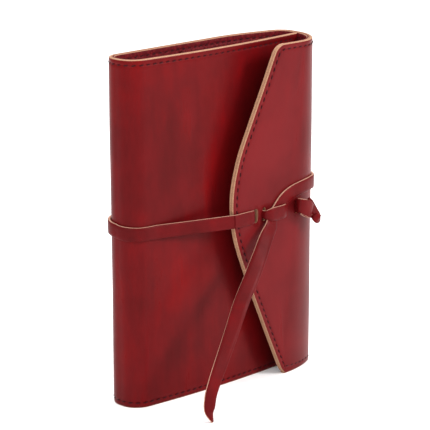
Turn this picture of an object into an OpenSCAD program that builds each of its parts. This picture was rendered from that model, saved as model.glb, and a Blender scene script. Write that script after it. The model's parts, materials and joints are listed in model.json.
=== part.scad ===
// Pocket notebook: a two-layer leather wrap with a fore-edge flap, a lace that winds round it,
// and a paper refill of six folded sections held by two inner sleeves.
// Millimetres. +Z runs up the spine, +X from the spine to the fore-edge, -Y out of the front cover.
// Shapes are drawn in book coordinates (spine at x = 0, front cover at y = 0) and then moved, so
// that the origin is on the bottom edge of the back cover, half way along it.

/* [Cover] */
// Height of the leather cover
cover_h = 165; // [150:1:180]
// Thickness of one of the two leather layers
layer_t = 1.5; // [1.2:0.1:1.6]
// Outside radius of the two spine corners
spine_r = 9.3; // [9:0.1:9.6]
// Flat width between the spine corners
spine_flat = 2.6; // [2.4:0.1:3]
// Radius of the gentle swell of the front cover
front_r = 480; // [470:1:490]
// Straight width of the back cover next to the spine
back_flat = 62.7; // [62:0.1:63.2]
// Flat depth of the fore-edge wall
wall_flat = 7.5; // [7.2:0.1:8]

/* [Seams] */
// Distance from the leather's edge to the row of stitches
seam_inset = 2.5; // [2:0.1:3.5]
// Width of the sunken thread line
thread_w = 0.6; // [0.4:0.1:0.8]
// Height of the thread above the leather
thread_t = 0.3; // [0.2:0.05:0.4]

/* [Refill] */
// Height of the pages
page_h = 148; // [140:1:149]
// Thickness of one folded section at the fold
fold_t = 1.86; // [1.7:0.02:1.88]
// Thickness of one folded section at the fore-edge
fore_t = 1.24; // [1.1:0.02:1.26]
// Thickness of the card covers
card_t = 0.5; // [0.4:0.1:0.5]
// Thickness of the inner sleeves
sleeve_t = 0.9; // [0.7:0.1:0.9]

/* [Lace] */
// Width of the lace
lace_w = 6.4; // [6:0.1:6.6]
// Thickness of the lace
lace_t = 1.5; // [1.2:0.1:1.6]
// Height of the slits that the lace is threaded through
slit_z = 84; // [83:0.5:85]

/* [Hidden] */
SECTION_COUNT = 6;

leather_t = 2 * layer_t;
hinge_gap = 0.2;                    // running gap beside each hinge bead
end_gap = layer_t + hinge_gap;      // where a panel ends, measured from the hinge axis
lace_gap = leather_t + 0.4;         // where a lace run ends, measured from the hinge axis
clear = 0.05;                       // gap between faces that only lie against each other
slit_w = 1.9;
slit_h = lace_w + 0.4;
bead_steps = 6;

// The outside of the leather, walked clockwise seen from above. A stop is [x, y, a]: a place on
// the outer face and the angle a of the normal that points out of the leather there.
function out(s) = [cos(s[2]), sin(s[2])];
function ahead(s) = [sin(s[2]), -cos(s[2])];
function line(s, len) = [s[0] + len * ahead(s)[0], s[1] + len * ahead(s)[1], s[2]];
function arc(s, r, turn) = [s[0] - r * cos(s[2]) + r * cos(s[2] - turn),
                            s[1] - r * sin(s[2]) + r * sin(s[2] - turn), s[2] - turn];
function sweep(s, r, from, to, n) = [for (i = [0:n]) arc(s, r, from + (to - from) * i / n)];
function at(s, d) = [s[0], s[1]] + d * out(s);

front_turn = 12;
back_turn = 14;
back_r = 100;
back_slope = 10.3;
fore_back_r = 9;
fore_front_r = 11;
fore_front_turn = 62;
shoulder_r = 30;
flap_r = 680;
flap_turn = 3.5;

front_edge = [108.6, 0, 270 + front_turn / 2];
front_end = arc(front_edge, front_r, front_turn);
front_corner = 90 - front_turn / 2;
spine_front = arc(front_end, spine_r, front_corner);
spine_back = line(spine_front, spine_flat);
back_start = arc(spine_back, spine_r, 90);
back_bend = line(back_start, back_flat);
back_end = arc(back_bend, back_r, back_turn);
fore_back = line(back_end, back_slope);
fore_turn = 90 - back_turn;
wall_start = arc(fore_back, fore_back_r, fore_turn);
wall_end = line(wall_start, wall_flat);
shoulder = arc(wall_end, fore_front_r, fore_front_turn);
flap_start = arc(shoulder, shoulder_r, 90 - fore_front_turn);

// Each hinge is in the middle of a corner, at the middle of the leather's thickness.
front_hinge = arc(front_end, spine_r, front_corner - 45);
back_hinge = arc(spine_back, spine_r, 45);
wall_hinge = arc(fore_back, fore_back_r, fore_turn / 2);
flap_hinge = arc(wall_end, fore_front_r, fore_front_turn / 2);

function turn_for(r, gap) = asin(gap / (r - layer_t));
closed_t = back_start[1];
origin = [54.3, closed_t - layer_t / 2];

// The stops along each panel, from hinge to hinge; gap is how far it stays from a plain end.
function front_stops(gap) = concat(
    sweep(front_edge, front_r, 0, front_turn, 14),
    sweep(front_end, spine_r, 6, front_corner - 45 - turn_for(spine_r, gap), 3));
function spine_stops(gap) = concat(
    sweep(front_end, spine_r, front_corner - 45 + gap, front_corner, 4),
    sweep(spine_back, spine_r, 0, 45 - gap, 4));
function back_stops(spine_gap, fore_gap) = concat(
    sweep(spine_back, spine_r, 45 + turn_for(spine_r, spine_gap), 90, 4),
    sweep(back_bend, back_r, 0, back_turn, 4),
    sweep(fore_back, fore_back_r, 0, fore_turn / 2 - fore_gap, 3));
function side_stops(start_gap, end_turn) = concat(
    sweep(fore_back, fore_back_r, fore_turn / 2 + turn_for(fore_back_r, start_gap), fore_turn, 3),
    sweep(wall_end, fore_front_r, 0, fore_front_turn / 2 - end_turn, 3));
function flap_stops(gap) = concat(
    sweep(wall_end, fore_front_r, fore_front_turn / 2 + turn_for(fore_front_r, gap),
          fore_front_turn, 2),
    sweep(shoulder, shoulder_r, 6, 90 - fore_front_turn, 3),
    sweep(flap_start, flap_r, 0.5, flap_turn, 6));

// A quarter of the round bead on a panel's end, from angle b0 to b1 off the outward normal.
function bead(s, way, b0, b1) = [for (i = [0:bead_steps])
    let (b = b0 + (b1 - b0) * i / bead_steps)
    at(s, -layer_t) + layer_t * (cos(b) * out(s) + way * sin(b) * ahead(s))];
function band_points(stops, outer, inner) = concat(
    [for (s = stops) at(s, outer)],
    [for (i = [len(stops) - 1:-1:0]) at(stops[i], inner)]);
function outer_points(stops, bead_first, bead_last) = concat(
    bead_first ? bead(stops[0], -1, 90, 0) : [at(stops[0], 0)],
    [for (i = [1:len(stops) - 2]) at(stops[i], 0)],
    bead_last ? bead(stops[len(stops) - 1], 1, 0, 90) : [at(stops[len(stops) - 1], 0)],
    [for (i = [len(stops) - 1:-1:0]) at(stops[i], -layer_t)]);
function inner_points(stops, bead_first, bead_last) = concat(
    [for (s = stops) at(s, -layer_t)],
    bead_last ? bead(stops[len(stops) - 1], 1, 90, 180) : [at(stops[len(stops) - 1], -leather_t)],
    [for (i = [len(stops) - 2:-1:1]) at(stops[i], -leather_t)],
    bead_first ? bead(stops[0], -1, 180, 90) : [at(stops[0], -leather_t)]);

// A flat strip of half width h along the points p, with mitred bends.
function edge_normal(a, b) = let (d = (b - a) / norm(b - a)) [-d[1], d[0]];
function mitre(p, i) =
    let (last = len(p) - 1,
         a = edge_normal(p[max(i - 1, 0)], p[max(i, 1)]),
         b = edge_normal(p[min(i, last - 1)], p[min(i + 1, last)]))
    (a + b) / (1 + a * b);
function strip(p, h) = concat(
    [for (i = [0:len(p) - 1]) p[i] + h * mitre(p, i)],
    [for (i = [len(p) - 1:-1:0]) p[i] - h * mitre(p, i)]);
function bend(p, q, r, n) = [for (i = [0:n])
    let (t = i / n) (1 - t) * (1 - t) * p + 2 * t * (1 - t) * q + t * t * r];
function spline(p, i, t) =
    let (a = p[i - 1], b = p[i], c = p[i + 1], d = p[i + 2])
    0.5 * (2 * b + (c - a) * t + (2 * a - 5 * b + 4 * c - d) * t * t
           + (3 * b - a - 3 * c + d) * t * t * t);
function smooth(p, n) = concat(
    [for (i = [1:len(p) - 3]) for (k = [0:n - 1]) spline(p, i, k / n)], [p[len(p) - 2]]);

// The flap's free edge as [x, z], from its top corner to its bottom corner.
flap_tip = [[82, 175], [75.6, 161], [69.6, 147], [61.8, 129.5], [54.6, 112], [51.4, 94],
            [53.7, 76], [61, 56.5], [72.6, 30.5], [84.6, 5], [90, -6]];
flap_edge = concat(
    bend([82.5, cover_h], [77.6, cover_h], flap_tip[1], 4),
    [for (i = [1:len(smooth(flap_tip, 3)) - 2]) smooth(flap_tip, 3)[i]],
    bend(flap_tip[9], [86.9, 0], [91, 0], 4));
flap_outline = concat([[125, cover_h]], flap_edge, [[125, 0]]);
flap_seam = concat(
    [[125, cover_h - seam_inset]],
    [for (i = [0:len(flap_edge) - 1]) flap_edge[i] + seam_inset * mitre(flap_edge, i)],
    [[125, seam_inset]]);

// Where the lace goes through the flap, as x: out to the front run, in and out of the keeper
// loop, and out to the knot.
slits = [64.9, 71.6, 85.5, 93.6];
function flap_stop(x) = arc(flap_start, flap_r, asin((flap_start[0] - x) / flap_r));

module placed() {
    translate([-origin[0], -origin[1], 0]) children();
}
module upright(points, z0, z1) {
    placed() translate([0, 0, z0]) linear_extrude(height = z1 - z0) polygon(points);
}
// A shape drawn as [x, z], as a block that spans the whole depth of the notebook.
module across(points) {
    placed() translate([0, 40, 0]) rotate([90, 0, 0]) linear_extrude(height = 80) polygon(points);
}
module slit_blocks() {
    for (x = slits)
        placed() translate([x - slit_w / 2, -20, slit_z - slit_h / 2]) cube([slit_w, 12, slit_h]);
}
module seams(stops) {
    for (z = [seam_inset, cover_h - seam_inset])
        upright(band_points(stops, thread_t, 0), z - thread_w / 2, z + thread_w / 2);
}

// Leather panels and their linings
module back_cover() {
    color([0.46, 0.09, 0.11])
        upright(outer_points(back_stops(end_gap, 0), false, true), 0, cover_h);
}
module back_lining() {
    color([0.36, 0.06, 0.08])
        upright(inner_points(back_stops(end_gap, 0), false, true), 0, cover_h);
}
module spine_cover() {
    color([0.5, 0.08, 0.1]) upright(outer_points(spine_stops(0), true, true), 0, cover_h);
}
module spine_lining() {
    color([0.36, 0.06, 0.08]) upright(inner_points(spine_stops(0), true, true), 0, cover_h);
}
module front_cover() {
    color([0.48, 0.1, 0.12]) upright(outer_points(front_stops(end_gap), false, false), 0, cover_h);
}
module front_lining() {
    color([0.36, 0.06, 0.08])
        upright(inner_points(front_stops(end_gap), false, false), 0, cover_h);
}
module side_wall() {
    color([0.46, 0.09, 0.11])
        upright(outer_points(side_stops(end_gap, 0), false, true), 0, cover_h);
}
module side_lining() {
    color([0.36, 0.06, 0.08])
        upright(inner_points(side_stops(end_gap, 0), false, true), 0, cover_h);
}
module flap() {
    color([0.52, 0.13, 0.15]) difference() {
        intersection() {
            upright(outer_points(flap_stops(end_gap), false, false), 0, cover_h);
            across(flap_outline);
        }
        slit_blocks();
    }
}
module flap_lining() {
    color([0.36, 0.06, 0.08]) difference() {
        intersection() {
            upright(inner_points(flap_stops(end_gap), false, false), 0, cover_h);
            across(flap_outline);
        }
        slit_blocks();
    }
}

// Rows of stitches, as one low bar each
module back_thread() {
    color([0.25, 0.03, 0.08]) seams(back_stops(end_gap, 0));
}
module spine_thread() {
    color([0.25, 0.03, 0.08]) seams(spine_stops(0));
}
module front_thread() {
    color([0.25, 0.03, 0.08]) seams(front_stops(end_gap));
}
module side_thread() {
    color([0.25, 0.03, 0.08]) seams(side_stops(end_gap, 0));
}
module flap_thread() {
    lace_room = lace_w + 4 * clear;
    color([0.25, 0.03, 0.08]) difference() {
        intersection() {
            upright(band_points(flap_stops(end_gap), thread_t, 0), 0, cover_h);
            across(strip(flap_seam, thread_w / 2));
        }
        placed() translate([50, -20, slit_z - lace_room / 2]) cube([8, 12, lace_room]);
    }
}

// Inner sleeves: a flat pocket with a sewn rim on three sides, open towards the spine
sleeve_rim = 3;
pocket_depth = card_t + 2 * clear;
sleeve_lift = 0.03;
module sleeve(stops, rim) {
    face = -leather_t - pocket_depth;
    z_edge = 3;
    rim_stops = [stops[rim], stops[rim + 1]];
    upright(band_points(stops, face, face - sleeve_t), z_edge, cover_h - z_edge);
    for (z = [z_edge, cover_h - z_edge - sleeve_rim])
        upright(band_points(stops, -leather_t - sleeve_lift, face), z, z + sleeve_rim);
    upright(band_points(rim_stops, -leather_t - sleeve_lift, face), z_edge + sleeve_rim,
            cover_h - z_edge - sleeve_rim);
}
module front_sleeve() {
    stops = concat([arc(front_edge, front_r, 0.3)], sweep(front_edge, front_r, 0.65, 5.1, 6));
    color([0.4, 0.08, 0.1]) sleeve(stops, 0);
}
module back_sleeve() {
    stops = concat([line(back_start, 38)], sweep(back_bend, back_r, 0, back_turn - 1.5, 4),
                   [back_end]);
    color([0.4, 0.08, 0.1]) sleeve(stops, len(stops) - 2);
}

// Refill: card covers, the tape round its spine and six folded sections
page_z = (cover_h - page_h) / 2;
module front_card() {
    color([0.75, 0.66, 0.5]) upright(
        band_points(sweep(front_edge, front_r, 0.7, 11.9, 10), -leather_t - clear,
                    -leather_t - clear - card_t), page_z, page_z + page_h);
}
module back_card() {
    color([0.75, 0.66, 0.5]) upright(
        band_points(concat([back_start], sweep(back_bend, back_r, 0, back_turn - 1.8, 4)),
                    -leather_t - clear, -leather_t - clear - card_t), page_z, page_z + page_h);
}
tape_x = 4.6;
tape_y = [6.2, 15];
module spine_tape() {
    color([0.3, 0.24, 0.2])
        upright([[tape_x, tape_y[0]], [tape_x + card_t, tape_y[0]], [tape_x + card_t, tape_y[1]],
                 [tape_x, tape_y[1]]],
                page_z, page_z + page_h);
}
fold_x = 7.2;
fore_x = 102;
block_y = 4.85;
leaf_gap = 0.09;
function fold_y(i) = block_y + fold_t / 2 + (i - 1) * (fold_t + leaf_gap);
function fore_y(i) = block_y + fore_t / 2 + (i - 1) * (fore_t + leaf_gap);
module section(i) {
    color([0.93, 0.9, 0.8]) placed() translate([0, 0, page_z]) linear_extrude(height = page_h)
        union() {
            translate([fold_x, fold_y(i)]) circle(r = fold_t / 2, $fn = 32);
            polygon([[fold_x, fold_y(i) - fold_t / 2], [fore_x, fore_y(i) - fore_t / 2],
                     [fore_x, fore_y(i) + fore_t / 2], [fold_x, fold_y(i) + fold_t / 2]]);
        }
}

// Lace: runs that lie on the leather, the woven keeper, the knot and the hanging tail
lace_red = [0.5, 0.1, 0.12];
spine_lace_z = 85.4;
side_lace_z = 93.6;
back_lace = [[-5, 86], [20, 87], [70, 91], [125, side_lace_z]];
module lace_run(stops, z) {
    color(lace_red) upright(band_points(stops, lace_t, 0), z - lace_w / 2, z + lace_w / 2);
}
module lace_spine_run() {
    lace_run(spine_stops(turn_for(spine_r, end_gap)), spine_lace_z);
}
module lace_back_run() {
    color(lace_red) intersection() {
        upright(band_points(back_stops(lace_gap, turn_for(fore_back_r, lace_gap)), lace_t, 0),
                60, 110);
        across(strip(back_lace, lace_w / 2));
    }
}
module lace_side_run() {
    lace_run(side_stops(end_gap, turn_for(fore_front_r, lace_gap)), side_lace_z);
}
module lace_front_run() {
    corner = sweep(front_end, spine_r, 0, front_corner - 45 - turn_for(spine_r, lace_gap), 3);
    rim = 49.8;
    rise = at(flap_stop(rim), 0);
    near = sweep(front_edge, front_r, 11.2, 11.6, 1);
    stops = concat([[rise[0], rise[1], 270]], near, corner);
    lace_run(stops, slit_z + 0.3);
}
lace_route = [[113, side_lace_z], [101, 93.6], [92, 92.9], [85, 91.3], [80.8, 87.2],
              [78.2, 84], [76.6, 82.2]];
module lace_diagonal() {
    color(lace_red) intersection() {
        upright(band_points(flap_stops(end_gap), lace_t, 0), 60, 110);
        across(strip(lace_route, lace_w / 2));
    }
}
lie = lace_t / 2 + clear;
loop = 2 * lace_t + 3 * clear - lace_t / 2;
dive = -leather_t - lie;
weave = [[56.5, lie], [slits[0], lie], [slits[0], dive], [slits[1], dive], [slits[1], lie],
         [slits[1] + 0.3, loop], [slits[2] + 0.2, loop], [slits[2], lie], [slits[2], dive],
         [slits[3], dive], [slits[3], lie]];
module lace_keeper() {
    color(lace_red)
        upright(strip([for (w = weave) at(flap_stop(w[0]), w[1])], lace_t / 2),
                slit_z - lace_w / 2, slit_z + lace_w / 2);
}
module lace_knot() {
    face = at(flap_stop(slits[3]), lie + lace_t / 2);
    color(lace_red) placed() {
        hull() for (p = [[1.6, -1.6], [8, -1.8], [8, -4.6], [2.4, -4.6]])
            translate([face[0] - 1.2 + p[0], face[1] + p[1], slit_z - 5])
                cylinder(r = 1.4, h = 9.2, $fn = 24);
        translate([face[0] + 5.6, face[1] - 4.4, slit_z - 9.4]) rotate([0, -32, -12])
            cube([lace_w, lace_t, 7]);
    }
}

// The hanging tail, swept along a route in book coordinates: [x, y, z, facing], where facing is
// the direction that the flat of the lace looks, in degrees.
tail_route = [[72.8, -16.9, 78.2, 262], [68.2, -17.9, 73.6, 250], [62.6, -19.6, 67, 240],
              [56.6, -21.4, 60.4, 234], [51.6, -22.9, 55.4, 231], [47, -24.2, 51, 230],
              [42.2, -25.7, 45.9, 230], [37.6, -27.2, 40.3, 231],
              [32.2, -29, 33.9, 233], [26.9, -30.6, 27.6, 236], [22.4, -31.9, 22.2, 240],
              [18.8, -32.8, 17.2, 244], [15.6, -33.6, 11.8, 248], [13.8, -34.2, 5, 250]];
lace_section = [[-1, -0.3], [-0.94, -1], [0.94, -1], [1, -0.3],
                [1, 0.3], [0.94, 1], [-0.94, 1], [-1, 0.3]];
function route_xyz(i) = [tail_route[i][0], tail_route[i][1], tail_route[i][2]];
function route_way(i) =
    let (last = len(tail_route) - 1, d = route_xyz(min(i + 1, last)) - route_xyz(max(i - 1, 0)))
    d / norm(d);
function ring(i) =
    let (way = route_way(i), face = [cos(tail_route[i][3]), sin(tail_route[i][3]), 0],
         c = cross(way, face), wide = c / norm(c), flat = cross(wide, way))
    [for (q = lace_section) route_xyz(i) + q[0] * lace_w / 2 * wide + q[1] * lace_t / 2 * flat];
module lace_tail() {
    rings = len(tail_route);
    sides = len(lace_section);
    color(lace_red) placed() polyhedron(
        points = [for (i = [0:rings - 1]) each ring(i)],
        faces = concat(
            [[for (k = [0:sides - 1]) k]],
            [for (i = [0:rings - 2]) for (k = [0:sides - 1])
                let (a = i * sides + k, b = i * sides + (k + 1) % sides)
                each [[a, a + sides, b + sides], [a, b + sides, b]]],
            [[for (k = [sides - 1:-1:0]) (rings - 1) * sides + k]]));
}

back_cover();
spine_cover();
front_cover();
side_wall();
flap();
back_lining();
spine_lining();
front_lining();
side_lining();
flap_lining();
back_thread();
spine_thread();
front_thread();
side_thread();
flap_thread();
front_sleeve();
back_sleeve();
front_card();
back_card();
spine_tape();
for (i = [1:SECTION_COUNT])
    section(i);
lace_front_run();
lace_spine_run();
lace_back_run();
lace_side_run();
lace_diagonal();
lace_keeper();
lace_knot();
lace_tail();
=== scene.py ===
"""Looks of the pocket notebook: a doubled-leather wrap, its stitching, lace and paper refill.

Lengths are millimetres in book coordinates (spine at x = 0, front cover at y = 0, floor at
z = 0) until a mesh is made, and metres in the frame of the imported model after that.
"""

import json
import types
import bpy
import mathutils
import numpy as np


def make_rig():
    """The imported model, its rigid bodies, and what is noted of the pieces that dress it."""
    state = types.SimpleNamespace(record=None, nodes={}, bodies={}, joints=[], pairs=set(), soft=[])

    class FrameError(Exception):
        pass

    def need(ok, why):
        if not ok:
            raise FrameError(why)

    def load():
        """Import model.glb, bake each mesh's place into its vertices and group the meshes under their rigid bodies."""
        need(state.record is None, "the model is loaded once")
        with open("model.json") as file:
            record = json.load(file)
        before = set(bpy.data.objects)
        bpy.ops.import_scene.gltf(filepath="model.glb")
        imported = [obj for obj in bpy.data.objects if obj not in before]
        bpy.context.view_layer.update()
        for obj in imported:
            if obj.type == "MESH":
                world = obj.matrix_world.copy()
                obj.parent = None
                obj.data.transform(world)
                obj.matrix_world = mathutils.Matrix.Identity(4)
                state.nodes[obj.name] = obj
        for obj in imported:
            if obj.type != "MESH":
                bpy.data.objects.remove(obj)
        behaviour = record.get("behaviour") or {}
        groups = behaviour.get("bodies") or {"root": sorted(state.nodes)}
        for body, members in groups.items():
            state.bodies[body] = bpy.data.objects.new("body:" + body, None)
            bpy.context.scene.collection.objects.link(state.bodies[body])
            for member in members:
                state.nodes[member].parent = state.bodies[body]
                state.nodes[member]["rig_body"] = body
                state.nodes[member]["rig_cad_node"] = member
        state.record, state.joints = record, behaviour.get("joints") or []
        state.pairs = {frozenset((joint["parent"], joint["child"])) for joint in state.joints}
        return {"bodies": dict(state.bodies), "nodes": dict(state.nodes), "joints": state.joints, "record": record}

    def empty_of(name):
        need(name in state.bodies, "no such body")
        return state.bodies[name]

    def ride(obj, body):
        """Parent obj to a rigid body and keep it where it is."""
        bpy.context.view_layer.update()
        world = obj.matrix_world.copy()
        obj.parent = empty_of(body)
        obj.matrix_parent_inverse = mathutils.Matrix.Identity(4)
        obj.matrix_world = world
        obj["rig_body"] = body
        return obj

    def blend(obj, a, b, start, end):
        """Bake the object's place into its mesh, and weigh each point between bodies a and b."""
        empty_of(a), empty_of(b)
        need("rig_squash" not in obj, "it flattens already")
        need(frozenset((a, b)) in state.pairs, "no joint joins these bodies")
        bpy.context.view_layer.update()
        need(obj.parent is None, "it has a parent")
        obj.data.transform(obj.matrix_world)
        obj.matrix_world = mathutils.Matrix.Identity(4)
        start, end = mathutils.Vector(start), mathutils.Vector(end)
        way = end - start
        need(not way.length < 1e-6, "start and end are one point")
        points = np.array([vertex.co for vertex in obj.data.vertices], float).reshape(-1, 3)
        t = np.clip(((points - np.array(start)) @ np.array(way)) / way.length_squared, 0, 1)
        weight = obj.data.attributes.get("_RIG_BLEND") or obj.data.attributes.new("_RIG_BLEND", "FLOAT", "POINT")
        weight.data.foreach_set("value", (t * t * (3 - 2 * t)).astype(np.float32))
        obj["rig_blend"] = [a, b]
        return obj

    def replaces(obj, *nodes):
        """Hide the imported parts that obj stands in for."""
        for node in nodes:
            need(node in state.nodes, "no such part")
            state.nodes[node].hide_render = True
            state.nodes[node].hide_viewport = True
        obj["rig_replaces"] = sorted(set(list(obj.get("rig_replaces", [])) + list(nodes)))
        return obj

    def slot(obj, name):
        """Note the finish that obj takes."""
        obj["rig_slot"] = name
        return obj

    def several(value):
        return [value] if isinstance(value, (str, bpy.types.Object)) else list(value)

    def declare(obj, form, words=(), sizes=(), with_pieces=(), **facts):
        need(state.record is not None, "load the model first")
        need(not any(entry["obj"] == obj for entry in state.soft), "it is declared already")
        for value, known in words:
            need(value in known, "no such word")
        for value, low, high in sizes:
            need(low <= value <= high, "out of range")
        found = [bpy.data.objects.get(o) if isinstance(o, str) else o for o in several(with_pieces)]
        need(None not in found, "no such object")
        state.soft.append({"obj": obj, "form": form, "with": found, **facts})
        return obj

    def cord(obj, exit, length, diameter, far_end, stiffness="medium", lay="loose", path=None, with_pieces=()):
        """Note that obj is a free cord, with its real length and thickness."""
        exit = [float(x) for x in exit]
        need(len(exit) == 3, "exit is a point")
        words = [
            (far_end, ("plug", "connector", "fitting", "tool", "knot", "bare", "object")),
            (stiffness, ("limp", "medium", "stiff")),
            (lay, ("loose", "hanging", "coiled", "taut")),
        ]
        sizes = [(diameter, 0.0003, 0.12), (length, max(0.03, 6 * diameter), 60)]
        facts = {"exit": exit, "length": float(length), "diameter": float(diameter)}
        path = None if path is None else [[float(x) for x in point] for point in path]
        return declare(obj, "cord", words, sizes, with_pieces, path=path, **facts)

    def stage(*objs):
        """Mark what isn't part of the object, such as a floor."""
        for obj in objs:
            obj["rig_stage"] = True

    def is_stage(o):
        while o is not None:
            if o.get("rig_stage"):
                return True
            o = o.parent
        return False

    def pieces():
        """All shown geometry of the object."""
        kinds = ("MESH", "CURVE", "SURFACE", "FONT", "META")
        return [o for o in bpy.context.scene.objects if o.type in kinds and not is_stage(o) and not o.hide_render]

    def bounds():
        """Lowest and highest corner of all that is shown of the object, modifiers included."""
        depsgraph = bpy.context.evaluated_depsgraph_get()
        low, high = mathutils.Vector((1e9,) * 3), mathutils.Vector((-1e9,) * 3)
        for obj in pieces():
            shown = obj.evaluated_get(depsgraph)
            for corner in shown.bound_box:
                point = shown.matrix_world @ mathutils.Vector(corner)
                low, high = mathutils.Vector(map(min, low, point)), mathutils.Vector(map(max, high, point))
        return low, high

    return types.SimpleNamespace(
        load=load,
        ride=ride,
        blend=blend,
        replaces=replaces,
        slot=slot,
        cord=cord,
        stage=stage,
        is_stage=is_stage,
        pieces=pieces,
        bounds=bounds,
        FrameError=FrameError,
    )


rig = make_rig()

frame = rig.load()

import json
import logging
import math
from dataclasses import dataclass, field
from enum import Enum
from functools import lru_cache
from typing import Callable, Iterable, Sequence

import bmesh
import bpy
import numpy as np
from mathutils import Matrix, Vector, noise

CAD_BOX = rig.bounds()
LOG = logging.getLogger("notebook")
MM = 0.001
SIZE_FILE = "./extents.json"
SKIN = "skin"

Point = tuple[float, float, float]


class Body(str, Enum):
    """Names of the moving bodies that the pieces ride on."""

    BACK = "back"
    SPINE = "spine"
    FRONT = "front"
    SIDE = "side"
    FLAP = "flap"


class Slot(str, Enum):
    """Names of the material slots in the record."""

    LEATHER = "outer_leather"
    LINING = "lining_leather"
    THREAD = "thread"
    SLEEVE = "sleeve_leather"
    CARD = "card"
    CLOTH = "book_cloth"
    PAPER = "paper"
    LACE = "lace_leather"


# ---------------------------------------------------------------- geometry of the leather wrap


@dataclass(frozen=True)
class Stop:
    """A place on the outer face of the leather and the angle of the normal there."""

    x: float
    y: float
    angle: float

    def out(self) -> tuple[float, float]:
        """Return the unit normal that points out of the leather."""
        return math.cos(math.radians(self.angle)), math.sin(math.radians(self.angle))

    def ahead(self) -> tuple[float, float]:
        """Return the unit direction of travel, clockwise seen from above."""
        return math.sin(math.radians(self.angle)), -math.cos(math.radians(self.angle))

    def line(self, length: float) -> "Stop":
        """Walk straight on for a length."""
        ax, ay = self.ahead()
        return Stop(self.x + length * ax, self.y + length * ay, self.angle)

    def arc(self, radius: float, turn: float) -> "Stop":
        """Walk round an arc of the given outside radius, through turn degrees."""
        a0, a1 = math.radians(self.angle), math.radians(self.angle - turn)
        return Stop(
            self.x + radius * (math.cos(a1) - math.cos(a0)),
            self.y + radius * (math.sin(a1) - math.sin(a0)),
            self.angle - turn,
        )

    def at(self, offset: float) -> tuple[float, float]:
        """Return the point at a distance out of the outer face."""
        ox, oy = self.out()
        return self.x + offset * ox, self.y + offset * oy


@dataclass(frozen=True)
class Stretch:
    """One stretch of the wrap: an arc, or a straight line where the radius is zero."""

    name: str
    radius: float
    turn: float
    length: float


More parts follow.
